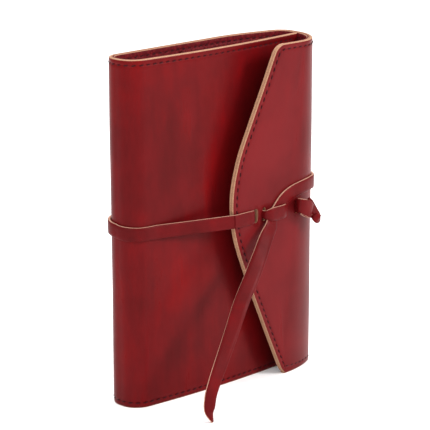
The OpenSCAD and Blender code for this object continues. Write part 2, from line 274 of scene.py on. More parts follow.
@dataclass
class Wrap:
    """The path of the doubled leather round the book, seen from above, at any height."""

    height: float = 165.0
    layer: float = 1.5
    origin_x: float = 54.3
    front_start: tuple[float, float] = (108.6, 0.0)
    front_radius: float = 480.0
    front_turn: float = 12.0
    spine_radius: float = 9.3
    spine_flat: float = 2.6
    back_flat: float = 62.7
    back_radius: float = 100.0
    back_turn: float = 14.0
    back_slope: float = 10.3
    fore_back_radius: float = 9.0
    wall_flat: float = 7.5
    fore_front_radius: float = 11.0
    fore_front_turn: float = 62.0
    shoulder_radius: float = 30.0
    flap_radius: float = 680.0
    corner_x: float = 82.5
    tip: tuple[tuple[float, float], ...] = (
        (82, 175), (75.6, 161), (69.6, 147), (61.8, 129.5), (54.6, 112), (51.4, 94),
        (53.7, 76), (61, 56.5), (72.6, 30.5), (84.6, 5), (90, -6),
    )

    def __post_init__(self) -> None:
        """Work out the edge of the flap and the thickness of the closed book."""
        self.edge = self._flap_edge()
        self.closed = self.stops(self.height / 2)[4].y
        self.origin_y = self.closed - self.layer / 2

    def stretches(self, z: float) -> list[Stretch]:
        """List the stretches of the wrap at a height.

        Args:
            z: Height above the floor. The corner before the flap is rounder towards the top,
                so the flap stands further out there.

        Returns:
            The stretches from the front cover's free edge to the flap.
        """
        middle = self.height / 2
        rise = (z - middle) / middle
        wall = self.wall_flat - 3.55 * rise - rise ** 2
        corner = self.fore_front_radius + 9.55 * rise + 2.15 * rise ** 2
        shoulder = self.shoulder_radius - 18.25 * rise + 0.95 * rise ** 2
        half = self.front_turn / 2
        return [
            Stretch("front", self.front_radius, self.front_turn, 0),
            Stretch("spine_front", self.spine_radius, 90 - half, 0),
            Stretch("spine", 0, 0, self.spine_flat),
            Stretch("spine_back", self.spine_radius, 90, 0),
            Stretch("back", 0, 0, self.back_flat),
            Stretch("back_bend", self.back_radius, self.back_turn, 0),
            Stretch("back_slope", 0, 0, self.back_slope),
            Stretch("fore_back", self.fore_back_radius, 90 - self.back_turn, 0),
            Stretch("wall", 0, 0, wall),
            Stretch("fore_front", corner, self.fore_front_turn, 0),
            Stretch("shoulder", shoulder, 90 - self.fore_front_turn, 0),
        ]

    def stops(self, z: float) -> list[Stop]:
        """Return the stop at the start of each stretch, and at the start of the flap."""
        return list(self._stops(round(z, 3)))

    @lru_cache(maxsize=None)
    def _stops(self, z: float) -> tuple[Stop, ...]:
        """Walk the stretches once for a height."""
        here = Stop(*self.front_start, 270 + self.front_turn / 2)
        found = [here]
        for part in self.stretches(z):
            here = here.arc(part.radius, part.turn) if part.radius else here.line(part.length)
            found.append(here)
        return tuple(found)

    def __hash__(self) -> int:
        """Hash by identity, so that the walks can be kept."""
        return id(self)

    def stop(self, u: float, z: float) -> Stop:
        """Return the stop at a place along the wrap.

        Args:
            u: The number of the stretch plus the share of it that is passed. Past the last
                stretch, the rest is the distance along the flap in hundredths of its length
                to the free edge.
            z: Height above the floor.

        Returns:
            The stop on the outer face.
        """
        stops = self._stops(round(z, 3))
        parts = self.stretches(z)
        index = min(int(u), len(parts))
        share = u - index
        if index == len(parts):
            start = stops[-1]
            return self.on_flap(start.x + (self.edge_x(z) - start.x) * share, z)
        part = parts[index]
        if part.radius:
            return stops[index].arc(part.radius, part.turn * share)
        return stops[index].line(part.length * share)

    def on_flap(self, x: float, z: float) -> Stop:
        """Return the stop on the flap, or on the bend before it, at a distance x."""
        start = self._stops(round(z, 3))[-1]
        turn = math.degrees(math.asin(max(-0.2, (start.x - x) / self.flap_radius)))
        return start.arc(self.flap_radius, turn)

    def flap_u(self, x: float, z: float) -> float:
        """Return the place along the wrap of a point on the flap."""
        start = self._stops(round(z, 3))[-1]
        return len(self.stretches(z)) + (x - start.x) / (self.edge_x(z) - start.x)

    def point(self, u: float, z: float, offset: float = 0.0) -> Point:
        """Return the point at a place, a height and a distance out of the outer face."""
        x, y = self.stop(u, z).at(offset)
        return x, y, z

    def _flap_edge(self) -> np.ndarray:
        """Return the flap's free edge as rows of x and z, from its top to its foot."""
        top, foot = self.height, 0.0
        pts = [np.array(p, float) for p in self.tip]
        rows = list(curve_bend((self.corner_x, top), (77.6, top), pts[1], 8))
        for i in range(1, len(pts) - 2):
            for k in range(1, 9):
                rows.append(spline_point(pts[i - 1:i + 3], k / 8))
        rows += list(curve_bend(pts[-2], (86.9, foot), (91, foot), 8))[1:]
        return np.array(rows)

    def edge_x(self, z: float) -> float:
        """Return where the flap's free edge is at a height."""
        return float(np.interp(-z, -self.edge[:, 1], self.edge[:, 0]))

    def skin(self, u: float, z: float) -> Point:
        """Return the leather's own flat coordinates in centimetres, for its patterns."""
        return self.run_to(u) / 10, z / 10, 0.0

    @lru_cache(maxsize=None)
    def _run(self) -> tuple[float, ...]:
        """Return the length of leather before each stretch, half way up the book."""
        total, runs = 0.0, [0.0]
        for part in self.stretches(self.height / 2):
            total += math.radians(part.turn) * part.radius if part.radius else part.length
            runs.append(total)
        runs.append(total + self._stops(round(self.height / 2, 3))[-1].x - self.tip[5][0])
        return tuple(runs)

    def run_to(self, u: float) -> float:
        """Return the length of leather up to a place along the wrap."""
        runs = self._run()
        index = min(int(u), len(runs) - 2)
        return runs[index] + (runs[index + 1] - runs[index]) * (u - index)

    def row(self, points: Iterable[Point]) -> np.ndarray:
        """Move points from book coordinates in millimetres to the frame in metres."""
        moved = np.array(list(points), float)
        moved = moved - np.array([self.origin_x, self.origin_y, 0.0])
        return moved * MM

    def row_point(self, x: float, y: float, z: float = 82.5) -> Vector:
        """Move one point from book coordinates to the frame."""
        return Vector(self.row([(x, y, z)])[0])


def curve_bend(a: Sequence[float], b: Sequence[float], c: Sequence[float], n: int) -> np.ndarray:
    """Return n + 1 points on the curve from a to c that is pulled towards b."""
    a, b, c = (np.array(p, float) for p in (a, b, c))
    t = np.linspace(0, 1, n + 1)[:, None]
    return (1 - t) ** 2 * a + 2 * t * (1 - t) * b + t ** 2 * c


def spline_point(p: Sequence[np.ndarray], t: float) -> np.ndarray:
    """Return the point at t on the smooth curve between the middle two of four points."""
    a, b, c, d = p
    return 0.5 * (
        2 * b + (c - a) * t + (2 * a - 5 * b + 4 * c - d) * t * t
        + (3 * b - a - 3 * c + d) * t ** 3
    )


def smooth_path(points: Sequence[Sequence[float]], steps: int) -> np.ndarray:
    """Return a smooth curve through rows of numbers, with steps points for each gap."""
    p = [np.array(q, float) for q in points]
    p = [2 * p[0] - p[1], *p, 2 * p[-1] - p[-2]]
    rows = [
        spline_point(p[i - 1:i + 3], k / steps)
        for i in range(1, len(p) - 2) for k in range(steps)
    ]
    return np.array([*rows, p[-2]])


# ---------------------------------------------------------------- meshes


def turn_outward(mesh: bpy.types.Mesh) -> None:
    """Make every face of a closed mesh look outward."""
    shell = bmesh.new()
    shell.from_mesh(mesh)
    bmesh.ops.recalc_face_normals(shell, faces=shell.faces)
    shell.to_mesh(mesh)
    shell.free()


def make_object(
    name: str,
    points: np.ndarray,
    faces: Sequence[Sequence[int]],
    materials: Sequence[bpy.types.Material],
    indices: Sequence[int] | None = None,
    skin: np.ndarray | None = None,
    sharp: float = 50.0,
) -> bpy.types.Object:
    """Make a mesh object from points in metres.

    Args:
        name: Name of the object.
        points: One row for each vertex.
        faces: Vertex numbers of each face.
        materials: Materials of the mesh, in slot order.
        indices: The material slot of each face, or None for the first.
        skin: The leather's own coordinates at each vertex, or None to use the points.
        sharp: Edges steeper than this many degrees are shown sharp.

    Returns:
        The new object, linked to the scene.
    """
    mesh = bpy.data.meshes.new(name)
    mesh.from_pydata([tuple(p) for p in points], [], [tuple(f) for f in faces])
    for material in materials:
        mesh.materials.append(material)
    if indices is not None:
        mesh.polygons.foreach_set("material_index", np.array(indices, np.int32))
    coords = points * 100 if skin is None else skin
    layer = mesh.attributes.new(SKIN, "FLOAT_VECTOR", "POINT")
    layer.data.foreach_set("vector", np.array(coords, np.float32).ravel())
    turn_outward(mesh)
    mesh.shade_smooth()
    mesh.set_sharp_from_angle(angle=math.radians(sharp))
    mesh.update()
    obj = bpy.data.objects.new(name, mesh)
    bpy.context.scene.collection.objects.link(obj)
    return obj


def tube_faces(first: int, count: int, sides: int) -> list[tuple[int, ...]]:
    """Return the faces of a tube with covered ends.

    Args:
        first: Number of the tube's first vertex.
        count: Number of rings.
        sides: Number of vertices in a ring.

    Returns:
        The vertex numbers of each face.
    """
    faces: list[tuple[int, ...]] = []
    for i in range(count - 1):
        for k in range(sides):
            a, b = first + i * sides + k, first + i * sides + (k + 1) % sides
            faces.append((a, b, b + sides, a + sides))
    faces.append(tuple(first + k for k in range(sides))[::-1])
    faces.append(tuple(first + (count - 1) * sides + k for k in range(sides)))
    return faces


def slab_rim(n: int, m: int) -> list[int]:
    """Return the vertex numbers round the rim of a grid of n by m points."""
    rim = [*range(m), *[i * m + m - 1 for i in range(1, n)]]
    return rim + [*range(n * m - 2, (n - 1) * m - 1, -1), *[i * m for i in range(n - 2, 0, -1)]]


# ---------------------------------------------------------------- shader groups and finishes


class Groups:
    """Shader groups that several finishes share, each made once."""

    _made: dict[str, bpy.types.NodeTree] = {}

    @classmethod
    def _start(cls, name: str, inputs: dict[str, float], outputs: Sequence[str]) -> bpy.types.NodeTree:
        """Make an empty group with a vector input, number inputs and number outputs."""
        tree = bpy.data.node_groups.new(name, "ShaderNodeTree")
        tree.interface.new_socket("Vector", in_out="INPUT", socket_type="NodeSocketVector")
        for label, value in inputs.items():
            made = tree.interface.new_socket(label, in_out="INPUT", socket_type="NodeSocketFloat")
            made.default_value = value
        for label in outputs:
            tree.interface.new_socket(label, in_out="OUTPUT", socket_type="NodeSocketFloat")
        cls._made[name] = tree
        return tree

    @classmethod
    def streaks(cls) -> bpy.types.NodeTree:
        """Hand-dyed colour: broad clouds drawn out into upright streaks.

        Returns:
            A group with inputs Vector and Stretch, and outputs Clouds, Streaks and Flecks.
        """
        name = "dye streaks"
        if name in cls._made:
            return cls._made[name]
        tree = cls._start(name, {"Stretch": 0.25}, ("Clouds", "Streaks", "Flecks"))
        nodes, links = tree.nodes, tree.links
        source, sink = nodes.new("NodeGroupInput"), nodes.new("NodeGroupOutput")
        combine = nodes.new("ShaderNodeCombineXYZ")
        combine.inputs["X"].default_value = 1.0
        combine.inputs["Z"].default_value = 1.0
        links.new(source.outputs["Stretch"], combine.inputs["Y"])
        drawn = nodes.new("ShaderNodeVectorMath")
        drawn.operation = "MULTIPLY"
        links.new(source.outputs["Vector"], drawn.inputs[0])
        links.new(combine.outputs[0], drawn.inputs[1])
        settings = (
            ("Clouds", source.outputs["Vector"], 0.28, 3.0, 0.55),
            ("Streaks", drawn.outputs[0], 1.1, 4.0, 0.6),
            ("Flecks", source.outputs["Vector"], 9.0, 3.0, 0.6),
        )
        for label, vector, scale, detail, rough in settings:
            tex = nodes.new("ShaderNodeTexNoise")
            tex.inputs["Scale"].default_value = scale
            tex.inputs["Detail"].default_value = detail
            tex.inputs["Roughness"].default_value = rough
            links.new(vector, tex.inputs["Vector"])
            links.new(tex.outputs[0], sink.inputs[label])
        return tree

    @classmethod
    def grain(cls) -> bpy.types.NodeTree:
        """Leather grain: small cells with fine pores between them.

        Returns:
            A group with inputs Vector, Cells and Pores, and outputs Height and Creases.
        """
        name = "leather grain"
        if name in cls._made:
            return cls._made[name]
        tree = cls._start(name, {"Cells": 14.0, "Pores": 60.0}, ("Height", "Creases"))
        nodes, links = tree.nodes, tree.links
        source, sink = nodes.new("NodeGroupInput"), nodes.new("NodeGroupOutput")
        warp = nodes.new("ShaderNodeTexNoise")
        warp.inputs["Scale"].default_value = 6.0
        links.new(source.outputs["Vector"], warp.inputs["Vector"])
        add = nodes.new("ShaderNodeVectorMath")
        add.operation = "MULTIPLY_ADD"
        add.inputs[1].default_value = (0.05, 0.05, 0.05)
        links.new(warp.outputs["Color"], add.inputs[0])
        links.new(source.outputs["Vector"], add.inputs[2])
        cells = nodes.new("ShaderNodeTexVoronoi")
        cells.feature = "SMOOTH_F1"
        links.new(source.outputs["Cells"], cells.inputs["Scale"])
        links.new(add.outputs[0], cells.inputs["Vector"])
        pores = nodes.new("ShaderNodeTexNoise")
        links.new(source.outputs["Pores"], pores.inputs["Scale"])
        links.new(source.outputs["Vector"], pores.inputs["Vector"])
        mix = nodes.new("ShaderNodeMath")
        mix.operation = "MULTIPLY_ADD"
        mix.inputs[1].default_value = 0.35
        links.new(pores.outputs[0], mix.inputs[0])
        links.new(cells.outputs["Distance"], mix.inputs[2])
        links.new(mix.outputs[0], sink.inputs["Height"])
        links.new(cells.outputs["Distance"], sink.inputs["Creases"])
        return tree

    @classmethod
    def fibres(cls) -> bpy.types.NodeTree:
        """Cut fibres: short streaks and specks for raw edges, paper, card and thread.

        Returns:
            A group with inputs Vector and Scale, and outputs Specks and Fuzz.
        """
        name = "cut fibres"
        if name in cls._made:
            return cls._made[name]
        tree = cls._start(name, {"Scale": 30.0}, ("Specks", "Fuzz"))
        nodes, links = tree.nodes, tree.links
        source, sink = nodes.new("NodeGroupInput"), nodes.new("NodeGroupOutput")
        specks = nodes.new("ShaderNodeTexNoise")
        specks.inputs["Detail"].default_value = 5.0
        specks.inputs["Roughness"].default_value = 0.7
        links.new(source.outputs["Vector"], specks.inputs["Vector"])
        links.new(source.outputs["Scale"], specks.inputs["Scale"])
        double = nodes.new("ShaderNodeMath")
        double.operation = "MULTIPLY"
        double.inputs[1].default_value = 3.0
        links.new(source.outputs["Scale"], double.inputs[0])
        fuzz = nodes.new("ShaderNodeTexNoise")
        links.new(source.outputs["Vector"], fuzz.inputs["Vector"])
        links.new(double.outputs[0], fuzz.inputs["Scale"])
        links.new(specks.outputs[0], sink.inputs["Specks"])
        links.new(fuzz.outputs[0], sink.inputs["Fuzz"])
        return tree


Colour = tuple[float, float, float]


class Shader:
    """A material that is being put together around one Principled shader."""

    def __init__(self, name: str) -> None:
        """Start a material of that name, with its pattern coordinates ready."""
        self.material = bpy.data.materials.new(name)
        self.material.use_nodes = True
        self.nodes = self.material.node_tree.nodes
        self.links = self.material.node_tree.links
        self.principled = self.nodes["Principled BSDF"]
        self.place = self.nodes.new("ShaderNodeAttribute")
        self.place.attribute_name = SKIN
        self.vector = self.place.outputs["Vector"]

    def set(self, **values: float) -> None:
        """Set plain values on the shader; underscores in the names stand for spaces."""
        for label, value in values.items():
            self.principled.inputs[label.replace("_", " ")].default_value = value

    def group(self, tree: bpy.types.NodeTree, **values: float) -> bpy.types.Node:
        """Place a shared group, fed with the pattern coordinates."""
        node = self.nodes.new("ShaderNodeGroup")
        node.node_tree = tree
        self.links.new(self.vector, node.inputs["Vector"])
        for label, value in values.items():
            node.inputs[label].default_value = value
        return node

    def ramp(self, source: bpy.types.NodeSocket,
             stops: Sequence[tuple[float, Colour]]) -> bpy.types.NodeSocket:
        """Turn a number into a colour between stops."""
        node = self.nodes.new("ShaderNodeValToRGB")
        bar = node.color_ramp
        bar.elements[0].position, bar.elements[1].position = stops[0][0], stops[-1][0]
        bar.elements[0].color = (*stops[0][1], 1)
        bar.elements[1].color = (*stops[-1][1], 1)
        for position, colour in stops[1:-1]:
            bar.elements.new(position).color = (*colour, 1)
        self.links.new(source, node.inputs[0])
        return node.outputs[0]

    def spread(self, source: bpy.types.NodeSocket, low: float, high: float,
               to_low: float, to_high: float) -> bpy.types.NodeSocket:
        """Map a number from one range to another, kept inside it."""
        node = self.nodes.new("ShaderNodeMapRange")
        for label, value in zip(("From Min", "From Max", "To Min", "To Max"), (low, high, to_low, to_high)):
            node.inputs[label].default_value = value
        self.links.new(source, node.inputs["Value"])
        return node.outputs[0]

    def mix(self, share: bpy.types.NodeSocket, a: bpy.types.NodeSocket | Colour,
            b: bpy.types.NodeSocket | Colour, how: str = "MIX") -> bpy.types.NodeSocket:
        """Mix two colours by a share."""
        node = self.nodes.new("ShaderNodeMix")
        node.data_type = "RGBA"
        node.blend_type = how
        self.links.new(share, node.inputs["Factor"])
        for label, value in (("A", a), ("B", b)):
            socket = [s for s in node.inputs if s.name == label and s.type == "RGBA"][0]
            if isinstance(value, tuple):
                socket.default_value = (*value, 1)
            else:
                self.links.new(value, socket)
        return [s for s in node.outputs if s.type == "RGBA"][0]

    def colour(self, source: bpy.types.NodeSocket) -> None:
        """Use a colour as the surface's colour."""
        self.links.new(source, self.principled.inputs["Base Color"])

    def rough(self, source: bpy.types.NodeSocket) -> None:
        """Use a number as the surface's roughness."""
        self.links.new(source, self.principled.inputs["Roughness"])

    def bump(self, *layers: tuple[bpy.types.NodeSocket, float, float]) -> None:
        """Stack bumps, each a height, a strength and a depth in metres."""
        normal = None
        for height, strength, distance in layers:
            node = self.nodes.new("ShaderNodeBump")
            node.inputs["Strength"].default_value = strength
            node.inputs["Distance"].default_value = distance
            self.links.new(height, node.inputs["Height"])
            if normal is not None:
                self.links.new(normal, node.inputs["Normal"])
            normal = node.outputs[0]
        self.links.new(normal, self.principled.inputs["Normal"])


@dataclass(frozen=True)
class DyedLeather:
    """Glossy hand-dyed leather with clouds and streaks of a brighter red, and a lighter red mixed in over the flap."""

    name: str = "dyed_leather"
    dark: Colour = (0.070, 0.0025, 0.003)
    middle: Colour = (0.100, 0.003, 0.004)
    bright: Colour = (0.145, 0.0025, 0.003)
    gloss: float = 0.32
    specular: float = 0.06
    stretch: float = 0.22
    # A lighter red that is mixed in over the flap.
    flap_red: Colour = (0.140, 0.010, 0.012)
    lighter_from: tuple[float, float] = (25.5, 27.5)

    def material(self) -> bpy.types.Material:
        """Make the material."""
        s = Shader(self.name)
        dye = s.group(Groups.streaks(), Stretch=self.stretch)
        grain = s.group(Groups.grain(), Cells=22.0, Pores=90.0)
        base = s.ramp(dye.outputs["Clouds"], ((0.36, self.dark), (0.5, self.middle), (0.66, self.bright)))
        streak = s.ramp(dye.outputs["Streaks"], ((0.34, self.dark), (0.54, self.middle), (0.72, self.bright)))
        half = s.spread(dye.outputs["Flecks"], 0.3, 0.7, 0.42, 0.58)
        parts = s.nodes.new("ShaderNodeSeparateXYZ")
        s.links.new(s.vector, parts.inputs[0])
        # From lighter_from along the wrap on, which is the flap, the colour is mixed part way towards a lighter red.
        flap = s.spread(parts.outputs["X"], *self.lighter_from, 0.0, 1.0)
        dyed = s.mix(half, base, streak)
        lighter = s.mix(s.spread(dye.outputs["Clouds"], 0.3, 0.7, 0.25, 0.6), dyed, self.flap_red)
        s.colour(s.mix(flap, dyed, lighter))
        s.rough(s.spread(dye.outputs["Streaks"], 0.3, 0.7, self.gloss + 0.07, self.gloss - 0.06))
        s.set(Specular_IOR_Level=self.specular)
        s.bump((grain.outputs["Height"], 0.10, 0.0002), (dye.outputs["Streaks"], 0.12, 0.0008))
        return s.material


@dataclass(frozen=True)
class PebbledLeather:
    """Soft lining leather with a fine pebble grain whose creases are darkened with painted shade."""

    name: str = "pebbled_lining"
    low: Colour = (0.085, 0.003, 0.006)
    high: Colour = (0.195, 0.008, 0.012)
    cells: float = 9.0

    def material(self) -> bpy.types.Material:
        """Make the material."""
        s = Shader(self.name)
        grain = s.group(Groups.grain(), Cells=self.cells, Pores=50.0)
        dye = s.group(Groups.streaks(), Stretch=0.6)
        # The pebble pattern is the grain: the pebble tops take the high colour, and the darker low colour in the
        # creases between them is painted crease shade.
        tone = s.ramp(grain.outputs["Creases"], ((0.05, self.high), (0.55, self.low)))
        s.colour(s.mix(s.spread(dye.outputs["Clouds"], 0.35, 0.65, 0.0, 0.35), tone, self.low))
        s.rough(s.spread(grain.outputs["Creases"], 0.1, 0.6, 0.42, 0.7))
        s.set(Specular_IOR_Level=0.1)
        s.bump((grain.outputs["Height"], 0.5, 0.0004))
        return s.material


@dataclass(frozen=True)
class RawEdge:
    """The undyed cut edge of leather: tan, with darker fibres."""

    name: str = "raw_edge"
    light: Colour = (0.40, 0.215, 0.125)
    dark: Colour = (0.23, 0.105, 0.058)

    def material(self) -> bpy.types.Material:
        """Make the material."""
        s = Shader(self.name)
        fibre = s.group(Groups.fibres(), Scale=18.0)
        s.colour(s.ramp(fibre.outputs["Specks"], ((0.34, self.dark), (0.58, self.light))))
        s.rough(s.spread(fibre.outputs["Fuzz"], 0.3, 0.7, 0.55, 0.8))
        s.set(Specular_IOR_Level=0.25)
        s.bump((fibre.outputs["Fuzz"], 0.4, 0.0002))
        return s.material


@dataclass(frozen=True)
class WaxedThread:
    """Twisted, waxed thread."""

    name: str = "waxed_thread"
    dark: Colour = (0.010, 0.001, 0.002)
    light: Colour = (0.045, 0.003, 0.006)

    def material(self) -> bpy.types.Material:
        """Make the material."""
        s = Shader(self.name)
        fibre = s.group(Groups.fibres(), Scale=40.0)
        wave = s.nodes.new("ShaderNodeTexWave")
        wave.bands_direction = "DIAGONAL"
        wave.inputs["Scale"].default_value = 12.0
        wave.inputs["Distortion"].default_value = 0.6
        s.links.new(s.vector, wave.inputs["Vector"])
        s.colour(s.ramp(wave.outputs["Fac"], ((0.1, self.dark), (0.9, self.light))))
        s.rough(s.spread(fibre.outputs["Specks"], 0.3, 0.7, 0.4, 0.65))
        s.set(Specular_IOR_Level=0.1)
        s.bump((wave.outputs["Fac"], 0.6, 0.0002), (fibre.outputs["Fuzz"], 0.2, 0.0001))
        return s.material


@dataclass(frozen=True)
class FibreStock:
    """Paper, card or book cloth: a flat stock with fibres in it."""

    name: str
    light: Colour
    dark: Colour
    scale: float = 14.0
    roughness: float = 0.8
    weave: float = 0.0

    def material(self) -> bpy.types.Material:
        """Make the material."""
        s = Shader(self.name)
        fibre = s.group(Groups.fibres(), Scale=self.scale)
        tone = s.ramp(fibre.outputs["Specks"], ((0.3, self.dark), (0.62, self.light)))
        layers = [(fibre.outputs["Fuzz"], 0.25, 0.0001)]
        if self.weave:
            wave = s.nodes.new("ShaderNodeTexWave")
            wave.bands_direction = "Z"
            wave.inputs["Scale"].default_value = self.weave
            s.links.new(s.vector, wave.inputs["Vector"])
            tone = s.mix(s.spread(wave.outputs["Fac"], 0.0, 1.0, 0.0, 0.5), tone, self.dark)
            layers.append((wave.outputs["Fac"], 0.4, 0.0002))
        s.colour(tone)
        s.rough(s.spread(fibre.outputs["Fuzz"], 0.3, 0.7, self.roughness - 0.08, self.roughness + 0.08))
        s.set(Specular_IOR_Level=0.3)
        s.bump(*layers)
        return s.material


@dataclass
class Finishes:
    """Every finish of the notebook, made once."""

    leather: bpy.types.Material = field(init=False)
    lace: bpy.types.Material = field(init=False)
    lining: bpy.types.Material = field(init=False)
    sleeve: bpy.types.Material = field(init=False)
    edge: bpy.types.Material = field(init=False)
    lace_edge: bpy.types.Material = field(init=False)
    thread: bpy.types.Material = field(init=False)
    paper: bpy.types.Material = field(init=False)
    card: bpy.types.Material = field(init=False)
    cloth: bpy.types.Material = field(init=False)

    def __post_init__(self) -> None:
        """Make the materials."""
        self.leather = DyedLeather().material()
        self.lace = DyedLeather(
            "lace_leather", (0.066, 0.0025, 0.003), (0.094, 0.003, 0.004), (0.13, 0.003, 0.004),
            gloss=0.42, stretch=1.0, lighter_from=(900.0, 901.0),
        ).material()
        self.lining = PebbledLeather().material()
        sleeve = PebbledLeather("sleeve_leather", (0.065, 0.003, 0.005), (0.21, 0.009, 0.013), 11.0)
        self.sleeve = sleeve.material()
        self.edge = RawEdge().material()
        self.lace_edge = RawEdge("lace_edge", (0.56, 0.31, 0.22), (0.38, 0.18, 0.12)).material()
        self.thread = WaxedThread().material()
        self.paper = FibreStock("cream_paper", (0.58, 0.535, 0.43), (0.46, 0.42, 0.325), 10.0).material()
        self.card = FibreStock("kraft_card", (0.36, 0.26, 0.15), (0.24, 0.16, 0.085), 12.0).material()
        self.cloth = FibreStock(
            "book_cloth", (0.09, 0.055, 0.04), (0.035, 0.02, 0.014), 20.0, 0.85, weave=24.0
        ).material()


# ---------------------------------------------------------------- leather panels


@dataclass(frozen=True)
class Bend:
    """The stretch over which a piece turns from one body to the next."""

    first: Body
    second: Body
    start: tuple[float, float]
    end: tuple[float, float]

    def apply(self, obj: bpy.types.Object, wrap: Wrap) -> None:
        """Bend a finished piece across the joint."""
        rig.blend(obj, self.first.value, self.second.value,
                 start=wrap.row_point(*self.start), end=wrap.row_point(*self.end))


@dataclass(frozen=True)
class Column:
    """One upright line of a leather grid: a place on the wrap, or a distance from the edge."""

    u: float
    inset: float | None = None


@dataclass(frozen=True)
class PanelPlan:
    """Which stretch of the wrap a piece of leather covers."""

    name: str
    start: float
    end: float
    bend: Bend
    leather_nodes: tuple[str, ...]
    lining_nodes: tuple[str, ...]
    thread_nodes: tuple[str, ...]
    free_start: bool = False
    free_end: bool = False


@dataclass
class Leather:
    """The outer leather and its lining, as grids that follow the wrap."""

    wrap: Wrap
    finishes: Finishes
    plans: tuple[PanelPlan, ...]
    seam: float = 2.5
    groove: float = 0.28
    groove_width: float = 0.42
    round_off: float = 0.32
    slits: tuple[float, ...] = (64.9, 71.6, 85.5, 93.6)
    slit_z: float = 84.0
    slit_size: tuple[float, float] = (1.9, 6.8)
    edge_steps: tuple[float, ...] = (0, 0.3, 0.9, 1.6, 2.05, 2.5, 2.95, 3.4, 4.4, 6.2)

    def heights(self) -> np.ndarray:
        """Return the heights of the grid's rows, close together at the seams."""
        low = np.array(self.edge_steps)
        top = self.wrap.height
        middle = np.linspace(low[-1], top - low[-1], 56)[1:-1]
        return np.concatenate([low, middle, (top - low)[::-1]])

    def columns(self, plan: PanelPlan) -> list[Column]:
        """Return the upright lines of a piece's grid.

        Args:
            plan: The piece.

        Returns:
            The lines from the start of the piece to its end.
        """
        step = {"front": 62, "spine_front": 16, "spine": 4, "spine_back": 16, "back": 36,
                "back_bend": 16, "back_slope": 6, "fore_back": 14, "wall": 8,
                "fore_front": 14, "shoulder": 16}
        parts = self.wrap.stretches(self.wrap.height / 2)
        marks: list[Column] = []
        for index, part in enumerate(parts):
            for k in range(step[part.name]):
                u = index + k / step[part.name]
                if plan.start - 1e-6 <= u <= plan.end + 1e-6:
                    marks.append(Column(u))
        if plan.free_start:
            width = math.radians(parts[0].turn) * parts[0].radius
            near = [Column(d / width) for d in self.edge_steps]
            marks = near + [m for m in marks if m.u > near[-1].u + 0.006]
        if plan.free_end:
            last = len(parts)
            marks += [Column(last + k / 22, 8.0) for k in range(22)]
            marks += [Column(last + 1, d * 1.08) for d in self.edge_steps[::-1]]
        elif marks[-1].u < plan.end - 1e-6:
            marks.append(Column(plan.end))
        return marks

    def place(self, column: Column, z: float) -> float:
        """Return the place on the wrap of a grid line at a height."""
        if column.inset is None:
            return column.u
        last = len(self.wrap.stretches(z))
        start = self.wrap.stops(z)[-1].x
        edge = self.wrap.edge_x(z)
        span = start - edge
        if column.u >= last + 1:
            return last + 1 - min(column.inset, 0.96 * span) / span
        reach = 1 - min(column.inset, 0.96 * span) / span
        return last + (column.u - last) * reach

    def sink(self, distance: float) -> float:
        """Return how deep the leather is pressed in at a distance from its edge."""
        seam = self.groove * math.exp(-((distance - self.seam) / self.groove_width) ** 2)
        roll = 0.16 * math.exp(-(distance / 1.2) ** 2)
        return seam + roll

    def swell(self, u: float, z: float) -> float:
        """Return the slow waves of hand-worked leather."""
        run = self.wrap.run_to(u)
        slow = noise.noise(Vector((run / 38, z / 60, 3.1)))
        quick = noise.noise(Vector((run / 9, z / 30, 7.7)))
        return 0.22 * slow + 0.05 * quick

    def build(self) -> list[bpy.types.Object]:
        """Build the leather and lining of every piece.

        Returns:
            The new objects.
        """
        made = []
        for plan in self.plans:
            outer = self.layer(plan, f"leather_{plan.name}", 0.0, -self.wrap.layer, True)
            inner = self.layer(plan, f"lining_{plan.name}", -self.wrap.layer, -2 * self.wrap.layer, False)
            if plan.free_end:
                self.cut_slits(outer)
                self.cut_slits(inner)
            for obj, nodes, slot in ((outer, plan.leather_nodes, Slot.LEATHER),
                                     (inner, plan.lining_nodes, Slot.LINING)):
                plan.bend.apply(obj, self.wrap)
                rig.replaces(obj, *nodes)
                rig.slot(obj, slot.value)
                LOG.info("%s: %d faces", obj.name, len(obj.data.polygons))
                made.append(obj)
        return made

    def layer(self, plan: PanelPlan, name: str, top: float, bottom: float,
              is_outer: bool) -> bpy.types.Object:
        """Build one layer of leather as a closed slab.

        Args:
            plan: The piece.
            name: Name of the object.
            top: Offset of the layer's outward side from the outer face.
            bottom: Offset of the layer's inward side.
            is_outer: Whether the outward side is the one that shows.

        Returns:
            The new object.
        """
        rows, cols = self.heights(), self.columns(plan)
        n, m = len(rows), len(cols)
        sides: list[list[Point]] = [[], []]
        skins: list[Point] = []
        for i, z in enumerate(rows):
            for j, column in enumerate(cols):
                u = self.place(column, z)
                rim = i in (0, n - 1) or (plan.free_start and j == 0) or (plan.free_end and j == m - 1)
                near = min(z, self.wrap.height - z)
                if plan.free_end and column.inset is not None and column.u > 11.5:
                    near = min(near, column.inset / 1.08 if column.u >= 12 else 8.0)
                if plan.free_start:
                    near = min(near, self.wrap.run_to(u))
                dent = self.sink(near)
                wave = self.swell(u, z)
                show = -dent + wave if is_outer else dent * 0.7 + wave
                outward = top + (show if is_outer else wave) - (self.round_off if rim else 0)
                inward = bottom + (wave if is_outer else show) + (self.round_off if rim else 0)
                sides[0].append(self.wrap.point(u, z, outward))
                sides[1].append(self.wrap.point(u, z, inward))
                skins.append(self.wrap.skin(u, z))
        points = self.wrap.row(sides[0] + sides[1])
        skin = np.array(skins + skins)
        skin[n * m:, 2] += 4.0
        faces, slots = self.slab_faces(n, m, plan, is_outer)
        face_material = self.finishes.leather if is_outer else self.finishes.lining
        return make_object(name, points, faces, (face_material, self.finishes.edge), slots, skin)

